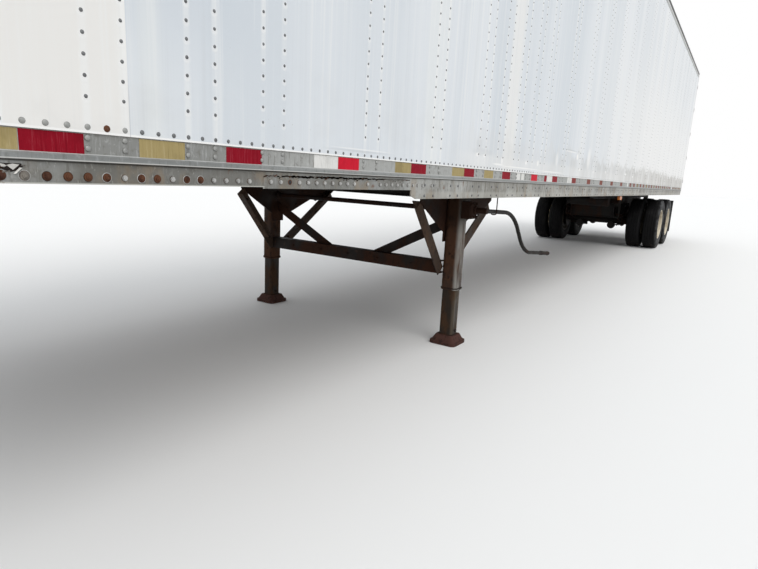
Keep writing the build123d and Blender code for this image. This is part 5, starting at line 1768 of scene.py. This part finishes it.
# Places of the hinges and of the lock rods' guides: heights, and distances from the trailer's middle. Then
# the length of a piece of tape
HINGES_Z = (1.480, 2.070, 2.660, 3.250, 3.800)
HINGE_BOLTS_Y = (1.110, 1.175)
RODS_Y = (0.180, 0.640)
GUIDES_Z = (2.000, 2.700)
TAPE_PIECE = 0.19


def door_trim(name, side, near, far, foot, head, face, body):
    """Bright trim round a door, two thin straps across it and tape along its foot."""
    work = bmesh.new()
    for edge in ((near + 0.001, near + 0.018), (far - 0.018, far - 0.001)):
        slab(work, (face - 0.0005, face + 0.0022), across(side, *edge), (foot + 0.002, head - 0.002), 0)
    for edge in ((foot + 0.002, foot + 0.020), (head - 0.020, head - 0.002)):
        slab(work, (face - 0.0005, face + 0.0021), across(side, near + 0.018, far - 0.018), edge, 0)
    for z in (foot + 0.70, foot + 1.62):
        slab(work, (face - 0.0005, face + 0.0012), across(side, near + 0.02, far - 0.02), (z, z + 0.003), 0)
    tape = evenly(near + 0.03, far - 0.03, TAPE_PIECE)
    for n, piece in enumerate(zip(tape, tape[1:])):
        height = (foot + 0.034, foot + 0.084)
        slab(work, (face - 0.0002, face + 0.0008), across(side, *piece), height, 1 + n % 2)
    bmesh_piece(name, work, ["bright", "fresh_red_tape", "white_tape"], body)


def door_bolts(name, side, foot, head, face, body):
    """Bolts of a door's hinges and of its lock rods' guides."""
    bolts = []
    for z in HINGES_Z:
        for y in HINGE_BOLTS_Y:
            bolts += [[(face + 0.0158, side * y, z + dz)] for dz in (-0.018, 0.018)]
    for y in RODS_Y:
        for z in (foot + 0.060, *GUIDES_Z, head - 0.060):
            bolts += [[(face + 0.0479, side * (y + dy), z)] for dy in (-0.022, 0.022)]
    grow(name, "bolts", bolts, [(1, 0, 0)] * len(bolts), DOOR_BOLT, "bright", body, False)


class TRAILER_OT_doors(bpy.types.Operator):
    """Adds the doors' edge trim, straps and tape, and the bolts of hinges and rod guides"""

    bl_idname = "trailer.doors"
    bl_label = "Door fittings"

    def execute(self, context):
        for side, name in SIDES:
            body = f"{name}_rear_door"
            low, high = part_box(f"{name}_door")
            near, far = sorted((abs(low.y), abs(high.y)))
            door_trim(f"{name}_door_trim", side, near, far, low.z, high.z, high.x, body)
            door_bolts(f"{name}_door_bolts", side, low.z, high.z, high.x, body)
        return {"FINISHED"}


# A tail lamp's ring: radius and distance behind the frame
LAMP_RING = ((0.0345, 0.0), (0.0400, 0.0), (0.0410, 0.008), (0.0385, 0.015), (0.0350, 0.012))
TAIL_LAMPS_Y = (-1.180, -0.780, 0.780, 1.180)
TAIL_LAMPS_Z = 1.255

# Tape on the guard: its end and its heights. Then on each upper corner of the frame: distances from the
# trailer's middle, and heights
GUARD_TAPE_END = 1.13
GUARD_TAPE_Z = (0.535, 0.585)
CORNER_TAPE = (((1.15, 1.235), (4.000, 4.050)), ((1.215, 1.255), (3.880, 4.000)))


class TRAILER_OT_tail_fittings(bpy.types.Operator):
    """Adds the tail lamps' rings and the tape on the guard and at the head of the frame"""

    bl_idname = "trailer.tail_fittings"
    bl_label = "Tail fittings"

    def execute(self, context):
        work = bmesh.new()
        for y in TAIL_LAMPS_Y:
            turned(work, LAMP_RING, (TAIL_X - 0.0005, y, TAIL_LAMPS_Z), (1, 0, 0), 32, 0, True)
        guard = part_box("rear_guard")[1].x
        strips = evenly(-GUARD_TAPE_END, GUARD_TAPE_END, TAPE_PIECE)
        for n, strip in enumerate(zip(strips, strips[1:])):
            slab(work, (guard - 0.0005, guard + 0.0008), strip, GUARD_TAPE_Z, 1 + n % 2)
        tape = (TAIL_X - 0.0005, TAIL_X + 0.0008)
        for side, _ in SIDES:
            for reach, height in CORNER_TAPE:
                slab(work, tape, across(side, *reach), height, 2)
        bmesh_piece("tail_trim", work, ["seal", "fresh_red_tape", "white_tape"], "trailer")
        return {"FINISHED"}


# Y of the air couplings and of their plates' bolts, and how far these bolts are above and below the middle
COUPLINGS_Y = (-0.190, 0.190)
COUPLING_BOLTS_Y = (-0.245, -0.125, 0.125, 0.245)
COUPLING_BOLTS_DZ = (-0.042, 0.042)
COUPLING_SEAL = ((0.010, 0.0), (0.028, 0.0), (0.030, 0.004), (0.028, 0.009), (0.010, 0.009))
COUPLING_BOLT = {
    "Head Radius": 0.0070, "Head Height": 0.0100, "Washer Radius": 0.0095, "Washer Thickness": 0.0030,
    "Shank Radius": 0.0040, "Shank Height": 0.0130, "Seed": 81,
}


class TRAILER_OT_air_lines(bpy.types.Operator):
    """Adds the air couplings' seals and their plates' bolts, on the nose"""

    bl_idname = "trailer.air_lines"
    bl_label = "Air couplings"

    def execute(self, context):
        low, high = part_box("air_couplings")
        height = (low.z + high.z) / 2
        work = bmesh.new()
        for y in COUPLINGS_Y:
            seal = (low.x + 0.0095, y, height - 0.012)
            turned(work, COUPLING_SEAL, seal, (-1, 0, 0), 28, 0, True)
        bmesh_piece("coupling_seals", work, ["seal"], "trailer", True)
        plate = NOSE_X - 0.0079
        bolts = [[(plate, y, height + dz)] for y in COUPLING_BOLTS_Y for dz in COUPLING_BOLTS_DZ]
        grow(
            "coupling_bolts", "bolts", bolts, [(-1, 0, 0)] * len(bolts), COUPLING_BOLT, "bright", "trailer",
            False,
        )
        return {"FINISHED"}


FLOOR_RADIUS = 160.0
SENSOR_WIDTH = 36.0

# The way from the part to the soft key light
KEY_FROM = Vector((-0.45, -0.75, 0.95))


def stage_floor(scene):
    """A round floor that looks nearly white but throws only its own colour's light on the part."""
    mesh = bpy.data.meshes.new("stage_floor")
    work = bmesh.new()
    bmesh.ops.create_circle(work, cap_ends=True, radius=FLOOR_RADIUS, segments=96)
    work.to_mesh(mesh)
    work.free()
    floor = bpy.data.objects.new("stage_floor", mesh)
    scene.collection.objects.link(floor)
    colour = scene.trailer_paint.floor
    coat = Coat("stage_floor", colour, 0.85)
    coat.layer(shade(colour, 0.94), coat.noise(2.5, detail=4.0), 0.6)
    coat.layer((0.86, 0.86, 0.855), coat.looked_at())
    mesh.materials.append(coat.material)


def soft_sky(scene, strength):
    """Light from all round, which looks white itself."""
    world = bpy.data.worlds.new("soft_sky")
    scene.world = world
    world.use_nodes = True
    sky = Graph(world.node_tree)
    light = sky.nodes["Background"]
    sky.put(light.inputs["Color"], (0.96, 0.98, 1.0))
    sky.put(light.inputs["Strength"], strength)
    white = sky.node("ShaderNodeBackground", {"Color": (1, 1, 1), "Strength": 1.0})
    mix = sky.node("ShaderNodeMixShader", {0: sky.looked_at(), 1: light.outputs[0], 2: white.outputs[0]})
    sky.put(sky.nodes["World Output"].inputs["Surface"], mix.outputs[0])


def key_light(scene, strength):
    """A wide, soft sun from the front left."""
    lamp = bpy.data.lights.new("key_light", "SUN")
    lamp.energy = strength
    lamp.angle = math.radians(45)
    lamp.color = (1.0, 0.985, 0.96)
    key = bpy.data.objects.new("key_light", lamp)
    key.rotation_euler = KEY_FROM.to_track_quat("Z", "Y").to_euler()
    scene.collection.objects.link(key)


def stand_camera(scene, stage):
    """The camera at its place, turned by its heading, tilt and roll."""
    ahead = Vector((
        math.cos(stage.yaw) * math.cos(stage.pitch), math.sin(stage.yaw) * math.cos(stage.pitch),
        math.sin(stage.pitch),
    ))
    level = ahead.cross(Vector((0, 0, 1))).normalized()
    above = level.cross(ahead)
    right = level * math.cos(stage.roll) + above * math.sin(stage.roll)
    up = above * math.cos(stage.roll) - level * math.sin(stage.roll)
    turn = Matrix((right, up, -ahead)).transposed()
    data = bpy.data.cameras.new("camera")
    data.sensor_width = SENSOR_WIDTH
    data.lens = stage.focal * SENSOR_WIDTH
    data.clip_start = 0.05
    data.clip_end = 400.0
    camera = bpy.data.objects.new("camera", data)
    camera.matrix_world = Matrix.Translation(Vector(stage.place)) @ turn.to_4x4()
    scene.collection.objects.link(camera)
    scene.camera = camera


class TRAILER_OT_stage(bpy.types.Operator):
    """Sets the floor, the light from all round, the soft key light and the camera"""

    bl_idname = "trailer.stage"
    bl_label = "Stage"

    def execute(self, context):
        scene = context.scene
        stage = scene.trailer_stage
        stage_floor(scene)
        soft_sky(scene, stage.sky)
        key_light(scene, stage.key)
        stand_camera(scene, stage)
        scene.view_settings.view_transform = "Standard"
        return {"FINISHED"}


OPERATORS = (
    TRAILER_OT_finishes, TRAILER_OT_side_sheets, TRAILER_OT_nose_sheets, TRAILER_OT_side_rivets,
    TRAILER_OT_rail_fasteners, TRAILER_OT_rail_tape, TRAILER_OT_rail_damage, TRAILER_OT_tyres,
    TRAILER_OT_wheel_fittings, TRAILER_OT_landing_gear, TRAILER_OT_doors, TRAILER_OT_tail_fittings,
    TRAILER_OT_air_lines, TRAILER_OT_stage,
)


class TRAILER_PT_panel(bpy.types.Panel):
    """Lists the trailer's makers and their settings."""

    bl_label = "Semi trailer"
    bl_idname = "TRAILER_PT_panel"
    bl_space_type = "VIEW_3D"
    bl_region_type = "UI"
    bl_category = "Trailer"

    def draw(self, context):
        for operator in OPERATORS:
            self.layout.operator(operator.bl_idname, text=operator.bl_label)
        for group in SETTINGS:
            box = self.layout.box()
            settings = getattr(context.scene, group)
            for name in settings.bl_rna.properties.keys():
                if name not in ("rna_type", "name"):
                    box.prop(settings, name)


SETTINGS = {
    "trailer_sheets": SheetSettings,
    "trailer_paint": PaintSettings,
    "trailer_tyres": TyreSettings,
    "trailer_stage": StageSettings,
}


def register():
    for name, group in SETTINGS.items():
        bpy.utils.register_class(group)
        setattr(bpy.types.Scene, name, PointerProperty(type=group))
    for operator in OPERATORS:
        bpy.utils.register_class(operator)
    bpy.utils.register_class(TRAILER_PT_panel)


def unregister():
    bpy.utils.unregister_class(TRAILER_PT_panel)
    for operator in reversed(OPERATORS):
        bpy.utils.unregister_class(operator)
    for name, group in SETTINGS.items():
        delattr(bpy.types.Scene, name)
        bpy.utils.unregister_class(group)


def main():
    """Registers the add-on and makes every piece."""
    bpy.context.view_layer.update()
    register()
    for operator in OPERATORS:
        family, action = operator.bl_idname.split(".")
        getattr(getattr(bpy.ops, family), action)()


if __name__ == "__main__":
    main()
